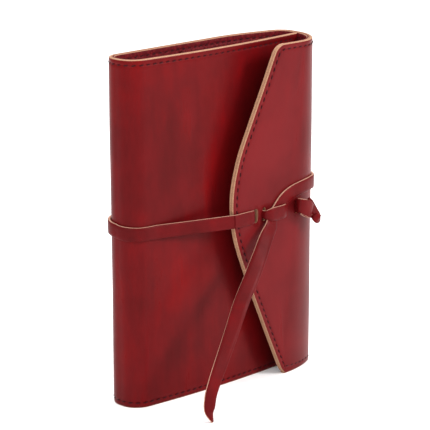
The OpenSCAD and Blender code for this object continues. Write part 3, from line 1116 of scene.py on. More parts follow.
    def slab_faces(self, n: int, m: int, plan: PanelPlan,
                   is_outer: bool) -> tuple[list[tuple[int, ...]], list[int]]:
        """Return the faces of a slab of n by m points a side, and each one's material slot."""
        faces: list[tuple[int, ...]] = []
        slots: list[int] = []
        back = n * m
        for i in range(n - 1):
            for j in range(m - 1):
                a, b, c, d = i * m + j, i * m + j + 1, (i + 1) * m + j + 1, (i + 1) * m + j
                rim = i in (0, n - 2) or (plan.free_start and j == 0) or (plan.free_end and j == m - 2)
                faces.append((a, d, c, b))
                slots.append(0 if is_outer and not rim else 1)
                faces.append((back + a, back + b, back + c, back + d))
                slots.append(0 if not is_outer and not rim else 1)
        ring = slab_rim(n, m)
        for k, a in enumerate(ring):
            b = ring[(k + 1) % len(ring)]
            faces.append((a, b, back + b, back + a))
            level = a // m == b // m and a // m in (0, n - 1)
            slots.append(0 if level and not is_outer else 1)
        return faces, slots

    def cut_slits(self, obj: bpy.types.Object) -> None:
        """Cut the four slits for the lace through a layer of the flap."""
        width, tall = self.slit_size
        cutter = bpy.data.meshes.new("slit_cutter")
        points: list[Point] = []
        faces: list[tuple[int, ...]] = []
        for number, x in enumerate(self.slits):
            wide = width + (1.7 if number == 0 else 0.3)
            centre = x + (1.0 if number == 0 else 0.0)
            ring = []
            for k in range(16):
                a = 2 * math.pi * k / 16
                squeeze = math.copysign(abs(math.cos(a)) ** 0.6, math.cos(a))
                stretch = math.copysign(abs(math.sin(a)) ** 0.5, math.sin(a))
                ring.append((centre + squeeze * wide / 2, self.slit_z + stretch * tall / 2))
            first = len(points)
            points += [(px, -20.0, pz) for px, pz in ring] + [(px, -6.0, pz) for px, pz in ring]
            faces += tube_faces(first, 2, len(ring))
        cutter.from_pydata([tuple(p) for p in self.wrap.row(points)], [], faces)
        turn_outward(cutter)
        cutter.materials.append(self.finishes.edge)
        tool = bpy.data.objects.new("slit_cutter", cutter)
        bpy.context.scene.collection.objects.link(tool)
        modifier = obj.modifiers.new("slits", "BOOLEAN")
        modifier.operation = "DIFFERENCE"
        modifier.solver = "EXACT"
        modifier.material_mode = "TRANSFER"
        modifier.object = tool
        apply_modifiers(obj)
        bpy.data.objects.remove(tool)


def apply_modifiers(obj: bpy.types.Object) -> None:
    """Turn an object's modifiers into its mesh."""
    bpy.context.view_layer.update()
    graph = bpy.context.evaluated_depsgraph_get()
    mesh = bpy.data.meshes.new_from_object(obj.evaluated_get(graph))
    old = obj.data
    obj.modifiers.clear()
    obj.data = mesh
    mesh.name = obj.name
    bpy.data.meshes.remove(old)


# ---------------------------------------------------------------- stitching


@dataclass
class Stitching:
    """Saddle stitches along the edges of the leather, on its face and on its lining."""

    wrap: Wrap
    finishes: Finishes
    plans: tuple[PanelPlan, ...]
    seam: float = 2.5
    pitch: float = 3.7
    half_size: tuple[float, float, float] = (1.2, 0.27, 0.24)
    slant: float = 9.0

    def seam_line(self, plan: PanelPlan, z: float) -> list[tuple[float, float]]:
        """Return a piece's row of stitches at a height, as places and heights."""
        return [(u, z) for u in np.linspace(plan.start, plan.end, 220)]

    def lines(self, plan: PanelPlan) -> list[list[tuple[float, float]]]:
        """Return every row of stitches on a piece."""
        top, foot = self.wrap.height - self.seam, self.seam
        if plan.free_end:
            inset = self.inset_edge()
            head = [(u, top) for u in np.linspace(plan.start, self.wrap.flap_u(inset[0][0], top), 160)]
            edge = [(self.wrap.flap_u(x, z), z) for x, z in inset]
            tail = [(u, foot) for u in np.linspace(self.wrap.flap_u(inset[-1][0], foot), plan.start, 160)]
            return [head + edge[1:] + tail[1:]]
        found = [self.seam_line(plan, top), self.seam_line(plan, foot)]
        if plan.free_start:
            width = self.wrap.run_to(1.0)
            share = self.seam / width
            found = [[(max(u, share), z) for u, z in line if u >= share] for line in found]
            found.append([(share, z) for z in np.linspace(foot + self.pitch, top - self.pitch, 200)])
        return found

    def inset_edge(self) -> list[tuple[float, float]]:
        """Return the flap's edge moved in by the width of the seam, as x and z."""
        edge = self.wrap.edge
        way = np.gradient(edge, axis=0)
        way /= np.linalg.norm(way, axis=1)[:, None]
        inner = edge + self.seam * np.stack([-way[:, 1], way[:, 0]], axis=1)
        keep = (inner[:, 1] <= self.wrap.height - self.seam + 1e-6) & (inner[:, 1] >= self.seam - 1e-6)
        return [(float(x), float(z)) for x, z in inner[keep]]

    def build(self) -> list[bpy.types.Object]:
        """Build the stitches of every piece.

        Returns:
            The new objects.
        """
        made = []
        for plan in self.plans:
            points: list[np.ndarray] = []
            faces: list[tuple[int, ...]] = []
            for line in self.lines(plan):
                for offset, sign in ((0.02, 1.0), (-2 * self.wrap.layer - 0.02, -1.0)):
                    self.sew(line, offset, sign, points, faces)
            obj = make_object(f"stitches_{plan.name}", np.array(points), faces,
                              (self.finishes.thread,), sharp=80)
            plan.bend.apply(obj, self.wrap)
            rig.replaces(obj, *plan.thread_nodes)
            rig.slot(obj, Slot.THREAD.value)
            LOG.info("%s: %d faces", obj.name, len(faces))
            made.append(obj)
        return made

    def sew(self, line: Sequence[tuple[float, float]], offset: float, sign: float,
            points: list[np.ndarray], faces: list[tuple[int, ...]]) -> None:
        """Add the stitches of one row.

        Args:
            line: Places and heights along the row.
            offset: Distance of the stitches from the outer face.
            sign: 1 on the outer face and -1 on the lining.
            points: Vertices so far, in metres, added to in place.
            faces: Faces so far, added to in place.
        """
        track = np.array([self.wrap.point(u, z, offset) for u, z in line])
        normals = np.array([(*self.wrap.stop(u, z).out(), 0.0) for u, z in line]) * sign
        run = np.concatenate([[0], np.cumsum(np.linalg.norm(np.diff(track, axis=0), axis=1))])
        count = max(2, round(run[-1] / self.pitch))
        for k in range(count):
            here = (k + 0.5) * run[-1] / count
            centre = np.array([np.interp(here, run, track[:, a]) for a in range(3)])
            ahead = np.array([np.interp(here + 0.6, run, track[:, a]) for a in range(3)])
            behind = np.array([np.interp(here - 0.6, run, track[:, a]) for a in range(3)])
            up = np.array([np.interp(here, run, normals[:, a]) for a in range(3)])
            along = (ahead - behind) / np.linalg.norm(ahead - behind)
            up = up - along * up.dot(along)
            up /= np.linalg.norm(up)
            across = np.cross(up, along)
            lean = math.radians(self.slant)
            along, across = (math.cos(lean) * along + math.sin(lean) * across,
                             math.cos(lean) * across - math.sin(lean) * along)
            self.stitch(centre, along, across, up, points, faces)

    def stitch(self, centre: np.ndarray, along: np.ndarray, across: np.ndarray, up: np.ndarray,
               points: list[np.ndarray], faces: list[tuple[int, ...]]) -> None:
        """Add one stitch: a short rounded bead of thread whose ends dip into the leather."""
        rings, sides = 7, 8
        first = len(points)
        for i in range(rings):
            t = -1 + 2 * i / (rings - 1)
            fat = max(0.28, (1 - abs(t) ** 3) ** 0.5)
            dip = -0.34 * t ** 4
            for k in range(sides):
                a = 2 * math.pi * k / sides
                place = (centre + along * t * self.half_size[0]
                         + across * math.cos(a) * self.half_size[1] * fat
                         + up * (math.sin(a) * self.half_size[2] * fat + dip))
                points.append(self.wrap.row([place])[0])
        faces += tube_faces(first, rings, sides)


# ---------------------------------------------------------------- lace


@dataclass(frozen=True)
class Station:
    """One place along a lace: its centre, the way its flat side looks, and its width."""

    centre: Point
    face: Point
    width: float = 1.0


@dataclass
class Lace:
    """The flat lace: its runs round the book, keeper loop, knot and hanging tail."""

    wrap: Wrap
    finishes: Finishes
    bends: dict[str, Bend]
    width: float = 6.4
    thickness: float = 1.5
    slit_z: float = 84.0
    slits: tuple[float, ...] = (64.9, 71.6, 85.5, 93.6)
    tail_route: tuple[tuple[float, float, float, float], ...] = (
        (72.8, -16.9, 78.2, 262), (68.2, -17.9, 73.6, 250), (62.6, -19.6, 67, 240),
        (56.6, -21.4, 60.4, 234), (51.6, -22.9, 55.4, 231), (47, -24.2, 51, 230),
        (42.2, -25.7, 45.9, 230), (37.6, -27.2, 40.3, 231),
        (32.2, -29, 33.9, 233), (26.9, -30.6, 27.6, 236), (22.4, -31.9, 22.2, 240),
        (18.8, -32.8, 17.2, 244), (15.6, -33.6, 11.8, 248), (13.8, -34.2, 5, 250),
    )
    tail_head: tuple[tuple[float, float, float, float], ...] = (
        (77.6, -14.3, 83.4, 270), (75.4, -15.2, 81.0, 268),
    )
    tail_tip: tuple[float, float, float, float] = (13.3, -37.0, 0.5, 252)
    tail_widths: tuple[tuple[float, float], ...] = (
        (0, 0.95), (0.12, 1.08), (0.3, 1.16), (0.5, 1.12), (0.75, 0.96), (0.92, 0.88), (1, 0.12),
    )

    def section(self) -> np.ndarray:
        """Return the outline of the lace's cross-section, across and out of its flat."""
        a, b, r = self.width / 2, self.thickness / 2 - 0.08, 0.24
        return np.array([
            (-a + r, b), (-a / 2, b + 0.04), (0, b + 0.06), (a / 2, b + 0.04), (a - r, b),
            (a, b - r), (a, -b + r),
            (a - r, -b), (0, -b), (-a + r, -b),
            (-a, -b + r), (-a, b - r),
        ])

    def ribbon(self, name: str, stations: Sequence[Station], start_run: float = 0.0,
               cut_end: bool = False) -> bpy.types.Object:
        """Sweep the lace through stations.

        Args:
            name: Name of the object.
            stations: Places along it, close enough together to look smooth.
            start_run: Length of lace before the first station, for its pattern.
            cut_end: Whether the last end is a bare cut end of the lace.

        Returns:
            The new object.
        """
        centres = np.array([s.centre for s in stations])
        ways = np.gradient(centres, axis=0)
        ways /= np.linalg.norm(ways, axis=1)[:, None]
        run = start_run + np.concatenate([[0], np.cumsum(np.linalg.norm(np.diff(centres, axis=0), axis=1))])
        outline = self.section()
        points: list[np.ndarray] = []
        skin: list[Point] = []
        for s, way, done in zip(stations, ways, run):
            face = np.array(s.face, float)
            face -= way * face.dot(way)
            face /= np.linalg.norm(face)
            wide = np.cross(way, face)
            for across, out in outline:
                points.append(s.centre + wide * across * s.width + face * out)
                skin.append((across / 10, done / 10, out / 10 + 9))
        rings = np.array(points).reshape(len(stations), len(outline), 3)
        faces = tube_faces(0, rings.shape[0], rings.shape[1])
        sides = len(outline)
        cut = {5, 6, 9, 10}
        slots = [1 if k % sides in cut else 0 for k in range((len(stations) - 1) * sides)]
        slots += [0, int(cut_end)]
        return make_object(name, self.wrap.row(points), faces, (self.finishes.lace, self.finishes.lace_edge),
                           slots, np.array(skin), sharp=60)

    def on_wrap(self, marks: Sequence[tuple[float, float, float]], steps: int) -> list[Station]:
        """Lay stations on the leather through marks of place, height and lift."""
        lie = self.thickness / 2 + 0.12
        found = []
        for u, z, lift in smooth_path(marks, steps):
            stop = self.wrap.stop(u, z)
            x, y = stop.at(lie + lift)
            found.append(Station((x, y, z), (*stop.out(), 0.0)))
        return found

    def build(self) -> list[bpy.types.Object]:
        """Build the runs, the keeper and the knot. The tail is built by itself.

        Returns:
            The new objects.
        """
        made = []
        runs = {
            "back_strap": (self.back_near(), "spine_back", ("lace_spine_run", "lace_back_run"), 120.0),
            "side_strap": (self.back_far(), "fore_back", ("lace_side_run",), 240.0),
            "front_strap": (self.front_run(), "spine_front", ("lace_front_run",), 0.0),
            "diagonal_strap": (self.diagonal(), "fore_front", ("lace_diagonal",), 400.0),
        }
        for name, (stations, bend, nodes, run) in runs.items():
            obj = self.ribbon(name, stations, run)
            self.bends[bend].apply(obj, self.wrap)
            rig.replaces(obj, *nodes)
            made.append(obj)
        keeper = self.ribbon("keeper_strap", self.keeper(), 520.0)
        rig.replaces(keeper, "lace_keeper")
        knot = self.knot()
        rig.replaces(knot, "lace_knot")
        for obj in (keeper, knot):
            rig.ride(obj, Body.FLAP.value)
            made.append(obj)
        for obj in made:
            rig.slot(obj, Slot.LACE.value)
            LOG.info("%s: %d faces", obj.name, len(obj.data.polygons))
        return made

    def front_run(self) -> list[Station]:
        """Return the run from the middle of the spine to the edge of the flap."""
        near = self.on_wrap([(2.5, 84.9, 0), (2.0, 84.7, 0), (1.8, 84.5, 0), (1.55, 84.3, 0),
                             (1.3, 84.2, 0), (1.1, 84.2, 0), (1.0, 84.2, 0.02), (0.95, 84.2, 0.1)], 6)
        lie = self.thickness / 2 + 0.12
        rim = self.wrap.edge_x(self.slit_z) - 0.6
        end = self.wrap.on_flap(rim, self.slit_z).at(lie)
        start = near[-1].centre
        straight = []
        for t in np.linspace(0, 1, 26)[1:]:
            sag = 0.5 * math.sin(math.pi * t)
            straight.append(Station(
                (start[0] + (end[0] - start[0]) * t, start[1] + (end[1] - start[1]) * t + sag,
                 start[2] + (self.slit_z - start[2]) * t - 0.2 * math.sin(math.pi * t)),
                (-0.2 * (1 - t), -1.0, 0.0)))
        return near + straight

    def back_near(self) -> list[Station]:
        """Return the run from the middle of the spine to the middle of the back."""
        return self.on_wrap([(2.5, 84.9, 0), (3.0, 85.2, 0), (3.5, 85.9, 0), (4.0, 86.6, 0),
                             (4.25, 87.6, 0), (4.5, 88.6, 0)], 9)

    def back_far(self) -> list[Station]:
        """Return the run from the middle of the back to the middle of the fore-edge wall."""
        return self.on_wrap([(4.5, 88.6, 0), (4.8, 89.8, 0), (5.3, 90.8, 0), (6.0, 91.9, 0),
                             (6.6, 92.6, 0), (7.0, 93.0, 0), (7.5, 93.4, 0), (8.0, 93.6, 0),
                             (8.5, 93.6, 0)], 7)

    def diagonal(self) -> list[Station]:
        """Return the run from the fore-edge wall over the flap and under the keeper."""
        stations = self.on_wrap([(8.5, 93.6, 0), (9.0, 93.6, 0), (9.5, 93.6, 0), (10.0, 93.6, 0)], 8)
        lie = self.thickness / 2 + 0.1
        route = [(105.2, 93.7), (101, 93.6), (96.5, 93.3), (92, 92.6), (88.3, 91.6), (85, 90.2),
                 (82.6, 88.5), (80.6, 86.5), (78.9, 84.6), (77.2, 82.6), (75.2, 80.6)]
        for x, z in smooth_path(route, 4):
            start = self.wrap.stops(z)[-1]
            if x < start.x:
                stop = self.wrap.on_flap(x, z)
            else:
                stop = self.find_shoulder(x, z)
            px, py = stop.at(lie)
            stations.append(Station((px, py, z), (*stop.out(), 0.0)))
        return stations

    def find_shoulder(self, x: float, z: float) -> Stop:
        """Return the stop on the bend before the flap that has the wanted x."""
        best = min(np.linspace(9.5, 11, 160), key=lambda u: abs(self.wrap.stop(u, z).x - x))
        return self.wrap.stop(float(best), z)

    def keeper(self) -> list[Station]:
        """Return the woven stretch: flap edge, slit, back, slit, loop, slit, back, slit."""
        lie = self.thickness / 2 + 0.1
        under = -2 * self.wrap.layer - lie
        loop = lie + self.thickness + 0.35
        b, c, d = self.slits[1:]
        route = [
            (self.wrap.edge_x(self.slit_z) - 0.6, lie + 0.3, 1), (55, lie + 0.3, 1), (60, lie, 1),
            (62.4, lie, 1), (63.6, lie - 0.1, 1), (64.3, lie - 0.6, 0.96), (64.7, lie - 1.5, 0.9),
            (64.8, -2.4, 0.86), (65.4, under + 0.2, 0.86), (67.2, under, 0.86), (69.8, under, 0.86),
            (b - 0.7, under + 0.7, 0.74), (b - 0.3, -1.5, 0.6), (b - 0.4, lie, 0.6),
            (b - 0.2, lie + 1.1, 0.68), (b + 0.8, loop - 0.1, 0.84), (b + 2.4, loop + 0.3, 0.97),
            (77.4, loop + 0.3, 1), (81.4, loop + 0.1, 1), (83.8, lie + 1.0, 0.98),
            (c - 0.3, lie - 0.4, 0.92), (c + 0.1, -1.8, 0.86), (c + 0.8, under + 0.4, 0.86),
            (87.8, under, 0.86), (91, under, 0.86), (d - 0.6, under + 0.5, 0.86), (d, -1.5, 0.86),
            (d + 0.1, 0.4, 0.9), (d + 0.1, 1.6, 1),
        ]
        found = []
        path = smooth_path(route, 5)
        for x, offset, _ in path:
            px, py = self.wrap.on_flap(x, self.slit_z).at(offset)
            found.append((px, py))
        flat = np.array(found)
        ways = np.gradient(flat, axis=0)
        ways /= np.linalg.norm(ways, axis=1)[:, None]
        # The lace's flat side looks to the left of its way, which is out of the flap.
        return [
            Station((x, y, self.slit_z), (way[1], -way[0], 0.0), float(row[2]))
            for (x, y), way, row in zip(flat, ways, path)
        ]

    def knot(self) -> bpy.types.Object:
        """Build the knot outside the last slit, with its short end."""
        base = self.wrap.on_flap(self.slits[3], self.slit_z)
        x0, y0 = base.x, base.y
        z0 = self.slit_z
        # Each row is x, y and z of the centre, the way the flat side looks, and the width.
        turns = [
            (0.1, -0.4, 0.4, -1.0, -0.1, 0.0, 0.95), (-0.9, -2.0, 1.0, -1.0, 0.5, 0.0, 0.95),
            (-2.3, -3.6, 1.7, -1.0, 0.2, 0.1, 1.0), (-2.5, -5.0, 1.7, -0.9, -0.6, 0.1, 1.05),
            (-1.0, -5.8, 1.1, -0.2, -1.0, 0.1, 1.12), (2.2, -5.8, -0.5, 0.1, -1.0, 0.1, 1.18),
            (4.6, -5.2, -2.0, 0.5, -1.0, 0.0, 1.12), (5.7, -3.9, -2.9, 1.0, -0.3, 0.0, 1.0),
            (5.0, -2.6, -2.8, 0.6, 1.0, 0.0, 0.95), (2.6, -2.0, -1.6, 0.0, 1.0, 0.0, 0.9),
        ]
        trailing = [
            (4.6, -2.9, 2.0, 0.2, -1.0, 0.2, 0.8), (5.9, -3.4, 0.6, 0.2, -1.0, 0.2, 0.86),
            (7.2, -3.6, -1.4, 0.1, -1.0, 0.2, 0.84), (8.5, -3.7, -3.4, 0.1, -1.0, 0.1, 0.8),
            (9.6, -4.1, -5.2, 0.2, -1.0, 0.0, 0.78), (9.7, -5.2, -6.4, 0.8, -0.7, -0.6, 0.76),
            (8.8, -6.1, -6.7, 0.4, 0.2, -1.0, 0.74), (7.8, -6.0, -5.9, -0.3, 0.9, 0.3, 0.7),
            (7.6, -5.1, -5.0, -0.6, 0.2, 1.0, 0.64), (8.3, -4.6, -4.8, 0.2, -1.0, 0.6, 0.6),
        ]
        made = []
        for name, rows, run in (("knot_strap", turns, 640.0), ("knot_strap_end", trailing, 690.0)):
            stations = [
                Station((x0 + r[0], y0 + r[1], z0 + r[2]), (r[3], r[4], r[5]), float(r[6]))
                for r in smooth_path(rows, 6)
            ]
            made.append(self.ribbon(name, self.rolled(stations), run, cut_end=True))
        return join(*made)

    def rolled(self, stations: Sequence[Station]) -> list[Station]:
        """Turn each station's flat side so that it keeps square to the way without flipping."""
        centres = np.array([s.centre for s in stations])
        ways = np.gradient(centres, axis=0)
        ways /= np.linalg.norm(ways, axis=1)[:, None]
        found: list[Station] = []
        before = np.array(stations[0].face, float)
        for s, way in zip(stations, ways):
            face = before - way * before.dot(way)
            face /= np.linalg.norm(face)
            wanted = np.array(s.face, float)
            wanted -= way * wanted.dot(way)
            wanted /= max(1e-6, np.linalg.norm(wanted))
            if wanted.dot(face) > 0:
                face = face + 0.2 * wanted
                face /= np.linalg.norm(face)
            before = face
            found.append(Station(s.centre, tuple(face), s.width))
        return found

    def tail(self) -> bpy.types.Object:
        """Returns:
            The new object.
        """
        rows = smooth_path(self.tail_route, 5)
        tip = smooth_path([self.tail_route[-2], self.tail_route[-1], self.tail_tip], 5)[6:]
        head = smooth_path([*self.tail_head, self.tail_route[0], self.tail_route[1]], 5)[:-6]
        rows = np.concatenate([head, rows, tip])
        share = np.linspace(0, 1, len(rows))
        widths = np.interp(share, *zip(*self.tail_widths))
        stations = []
        for (x, y, z, angle), wide in zip(rows, widths):
            a = math.radians(angle)
            stations.append(Station((x, y, z), (math.cos(a), math.sin(a), 0.12), float(wide)))
        obj = self.ribbon("tail_strap", stations, 560.0, cut_end=True)
        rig.ride(obj, Body.FLAP.value)
        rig.replaces(obj, "lace_tail")
        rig.slot(obj, Slot.LACE.value)
        path = self.wrap.row(rows[:, :3])
        length = float(np.linalg.norm(np.diff(path, axis=0), axis=1).sum())
        LOG.info("tail_strap: %.1f mm long", length / MM)
        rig.cord(obj, exit=path[0], length=round(length, 4), diameter=self.width * MM, far_end="bare",
                stiffness="medium", lay="hanging", path=[list(p) for p in path])
        return obj


def join(first: bpy.types.Object, second: bpy.types.Object) -> bpy.types.Object:
    """Join the second object's mesh into the first and return the first."""
    bpy.ops.object.select_all(action="DESELECT")
    first.select_set(True)
    second.select_set(True)
    bpy.context.view_layer.objects.active = first
    bpy.ops.object.join()
    return first


# ---------------------------------------------------------------- refill and sleeves


@dataclass
class Refill:
    """The paper refill: folded sections of leaves between card covers."""

    wrap: Wrap
    finishes: Finishes
    sections: int = 6
    sheets: int = 6
    fold_x: float = 7.2
    fore_x: float = 102.0
    first_y: float = 4.85
    fold_t: float = 1.86
    fore_t: float = 1.24
    gap: float = 0.09
    height: float = 148.0
    sheet_t: float = 0.085

    def build(self) -> list[bpy.types.Object]:
        """Build the sections.

        Returns:
            The new objects.
        """
        made = []
        for i in range(self.sections):
            obj = self.section(i)
            body = Body.BACK.value if i == self.sections - 1 else f"leaves_{i + 1}"
            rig.ride(obj, body)
            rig.replaces(obj, f"section_{i + 1}")
            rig.slot(obj, Slot.PAPER.value)
            LOG.info("%s: %d faces", obj.name, len(obj.data.polygons))
            made.append(obj)
        return made

    def section(self, index: int) -> bpy.types.Object:
        """Build one section of folded sheets, nested in each other."""
        fold_y = self.first_y + self.fold_t / 2 + index * (self.fold_t + self.gap)
        fore_y = self.first_y + self.fore_t / 2 + index * (self.fore_t + self.gap)
        low = (self.wrap.height - self.height) / 2
        points: list[Point] = []
        faces: list[tuple[int, ...]] = []
        rng = np.random.default_rng(40 + index)
        for k in range(self.sheets):
            share = 1 - k / self.sheets
            r0 = self.fold_t / 2 * share - 0.02
            r1 = self.fore_t / 2 * share - 0.02
            jitter = rng.uniform(-0.12, 0.12)
            fore = self.fore_x - 0.12 * (self.sheets - k) + jitter
            path = [(fore, fore_y - r1), *self.leaf(fold_y, fore_y, r0, r1, -1)]
            for a in np.linspace(-90, -270, 11):
                turn = math.radians(a)
                path.append((self.fold_x + r0 * math.cos(turn), fold_y + r0 * math.sin(turn)))
            path += [*self.leaf(fold_y, fore_y, r0, r1, 1)[::-1], (fore, fore_y + r1)]
            foot = low + rng.uniform(0, 0.15)
            head = low + self.height - rng.uniform(0, 0.15)
            self.strip(path, foot, head, points, faces)
        return make_object(f"paper_section_{index + 1}", self.wrap.row(points), faces,
                           (self.finishes.paper,), sharp=40)

    def leaf(self, fold_y: float, fore_y: float, r0: float, r1: float,
             side: int) -> list[tuple[float, float]]:
        """Return points along a leaf between its fore-edge and its fold."""
        found = []
        for t in (0.2, 0.5, 0.8):
            x = self.fore_x + (self.fold_x - self.fore_x) * t
            middle = fore_y + (fold_y - fore_y) * t
            found.append((x, middle + side * (r1 + (r0 - r1) * t)))
        return found

    def strip(self, path: Sequence[tuple[float, float]], low: float, high: float,
              points: list[Point], faces: list[tuple[int, ...]]) -> None:
        """Add one sheet that follows a path seen from above."""
        flat = np.array(path)
        ways = np.gradient(flat, axis=0)
        ways /= np.linalg.norm(ways, axis=1)[:, None]
        normal = np.stack([-ways[:, 1], ways[:, 0]], axis=1) * self.sheet_t
        first = len(points)
        for (x, y), (nx, ny) in zip(flat, normal):
            points += [(x, y, low), (x, y, high), (x + nx, y + ny, high), (x + nx, y + ny, low)]
        for i in range(len(flat) - 1):
            for k in range(4):
                a, b = first + 4 * i + k, first + 4 * i + (k + 1) % 4
                faces.append((a, b, b + 4, a + 4))
        faces.append((first + 3, first + 2, first + 1, first))
        end = first + 4 * (len(flat) - 1)
        faces.append((end, end + 1, end + 2, end + 3))


@dataclass(frozen=True)
class SheetPlan:
    """A flat piece that follows the wrap: a sleeve or a card cover."""

    name: str
    node: str
    body: Body
    slot: Slot
    start: float
    end: float
    faces_at: tuple[float, float]
    inset: float
    sewn: bool = False


@dataclass
class Sheets:
    """The sleeves, the card covers of the refill and the cloth tape round its spine."""

    wrap: Wrap
    finishes: Finishes
    plans: tuple[SheetPlan, ...]
    tape_x: float = 4.6
    tape_y: tuple[float, float] = (6.2, 15.0)
    tape_thick: float = 0.5
    bevel: float = 0.12
    seam: float = 1.6

    def build(self) -> list[bpy.types.Object]:
        """Build every sheet.

        Returns:
            The new objects.
        """
        made = [self.sheet(plan) for plan in self.plans]
        made.append(self.tape())
        return made

    def slab(self, name: str, grid: Callable[[int, int, float], Point], n: int, m: int,
             top: float, bottom: float, material: bpy.types.Material) -> bpy.types.Object:
        """Build a closed slab from a grid of places.

        Args:
            name: Name of the object.
            grid: Gives the point at a row, a column and an offset.
            n: Number of rows.
            m: Number of columns.
            top: Offset of one side.
            bottom: Offset of the other side.
            material: The slab's finish.

        Returns:
            The new object.
        """
        points: list[Point] = []
        skin: list[Point] = []
        for side, level in ((0, top), (1, bottom)):
            for i in range(n):
                for j in range(m):
                    rim = i in (0, n - 1) or j in (0, m - 1)
                    inward = self.bevel * (1 if side else -1) if rim else 0.0
                    point = grid(i, j, level + inward)
                    points.append(point)
                    skin.append((point[0] / 10, point[2] / 10, side * 3.0 + point[1] / 10))
        faces: list[tuple[int, ...]] = []
        back = n * m
        for i in range(n - 1):
            for j in range(m - 1):
                a, b, c, d = i * m + j, i * m + j + 1, (i + 1) * m + j + 1, (i + 1) * m + j
                faces += [(a, d, c, b), (back + a, back + b, back + c, back + d)]
        ring = slab_rim(n, m)
        for a, b in zip(ring, ring[1:] + ring[:1]):
            faces.append((a, b, back + b, back + a))
        return make_object(name, self.wrap.row(points), faces, (material,), skin=np.array(skin))

    def sheet(self, plan: SheetPlan) -> bpy.types.Object:
        """Build one sheet that follows the wrap."""
        finish = self.finishes.sleeve if plan.sewn else self.finishes.card
        edge = np.array([0, 0.25, 0.9, 1.3, self.seam, 1.9, 2.6])
        low, high = plan.inset, self.wrap.height - plan.inset
        rows = np.concatenate([low + edge, np.linspace(low + 6, high - 6, 34), (high - edge)[::-1]])
        cols = np.linspace(plan.start, plan.end, 40)

        def place(i: int, j: int, level: float) -> Point:
            """Return a point, pressed in along the seam and a little wavy."""
            near = min(rows[i] - low, high - rows[i])
            seam = 0.14 * math.exp(-((near - self.seam) / 0.35) ** 2) if plan.sewn else 0.0
            wave = 0.05 * noise.noise(Vector((cols[j] * 9, rows[i] / 22, 1.7)))
            return self.wrap.point(float(cols[j]), float(rows[i]), level + seam + wave)

        obj = self.slab(plan.name, place, len(rows), len(cols), *plan.faces_at, finish)
        if plan.sewn:
            obj = join(obj, self.stitches(plan, low, high))
        self.settle(obj, plan.body, plan.node, plan.slot)
        return obj

    def stitches(self, plan: SheetPlan, low: float, high: float) -> bpy.types.Object:
        """Build the rows of stitches along a sleeve's top and foot."""
        sewing = Stitching(self.wrap, self.finishes, (), pitch=3.2, half_size=(1.0, 0.24, 0.2))
        points: list[np.ndarray] = []
        faces: list[tuple[int, ...]] = []
        for z in (low + self.seam, high - self.seam):
            line = [(u, z) for u in np.linspace(plan.start + 0.01, plan.end - 0.01, 80)]
            sewing.sew(line, plan.faces_at[1] + 0.08, -1.0, points, faces)
        return make_object(f"{plan.name}_seam", np.array(points), faces, (self.finishes.thread,),
                           sharp=80)

    def tape(self) -> bpy.types.Object:
        """Build the cloth tape, with the low ribs of its weave."""
        n, m = 72, 12
        low = 8.5
        ys, zs = np.linspace(*self.tape_y, m), np.linspace(low, self.wrap.height - low, n)

        def place(i: int, j: int, level: float) -> Point:
            """Return a point on a rib or between two ribs."""
            rib = 0.05 * (i % 2)
            return self.tape_x + level + (rib if level > 0.1 else -rib), float(ys[j]), float(zs[i])

        obj = self.slab("cloth_tape", place, n, m, self.tape_thick, 0.0, self.finishes.cloth)
        self.settle(obj, Body.SPINE, "spine_tape", Slot.CLOTH)
        return obj

    def settle(self, obj: bpy.types.Object, body: Body, node: str, slot: Slot) -> None:
        """Let a sheet ride on its body in place of its CAD solid."""
        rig.ride(obj, body.value)
        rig.replaces(obj, node)
        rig.slot(obj, slot.value)
        LOG.info("%s: %d faces", obj.name, len(obj.data.polygons))


# ---------------------------------------------------------------- studio


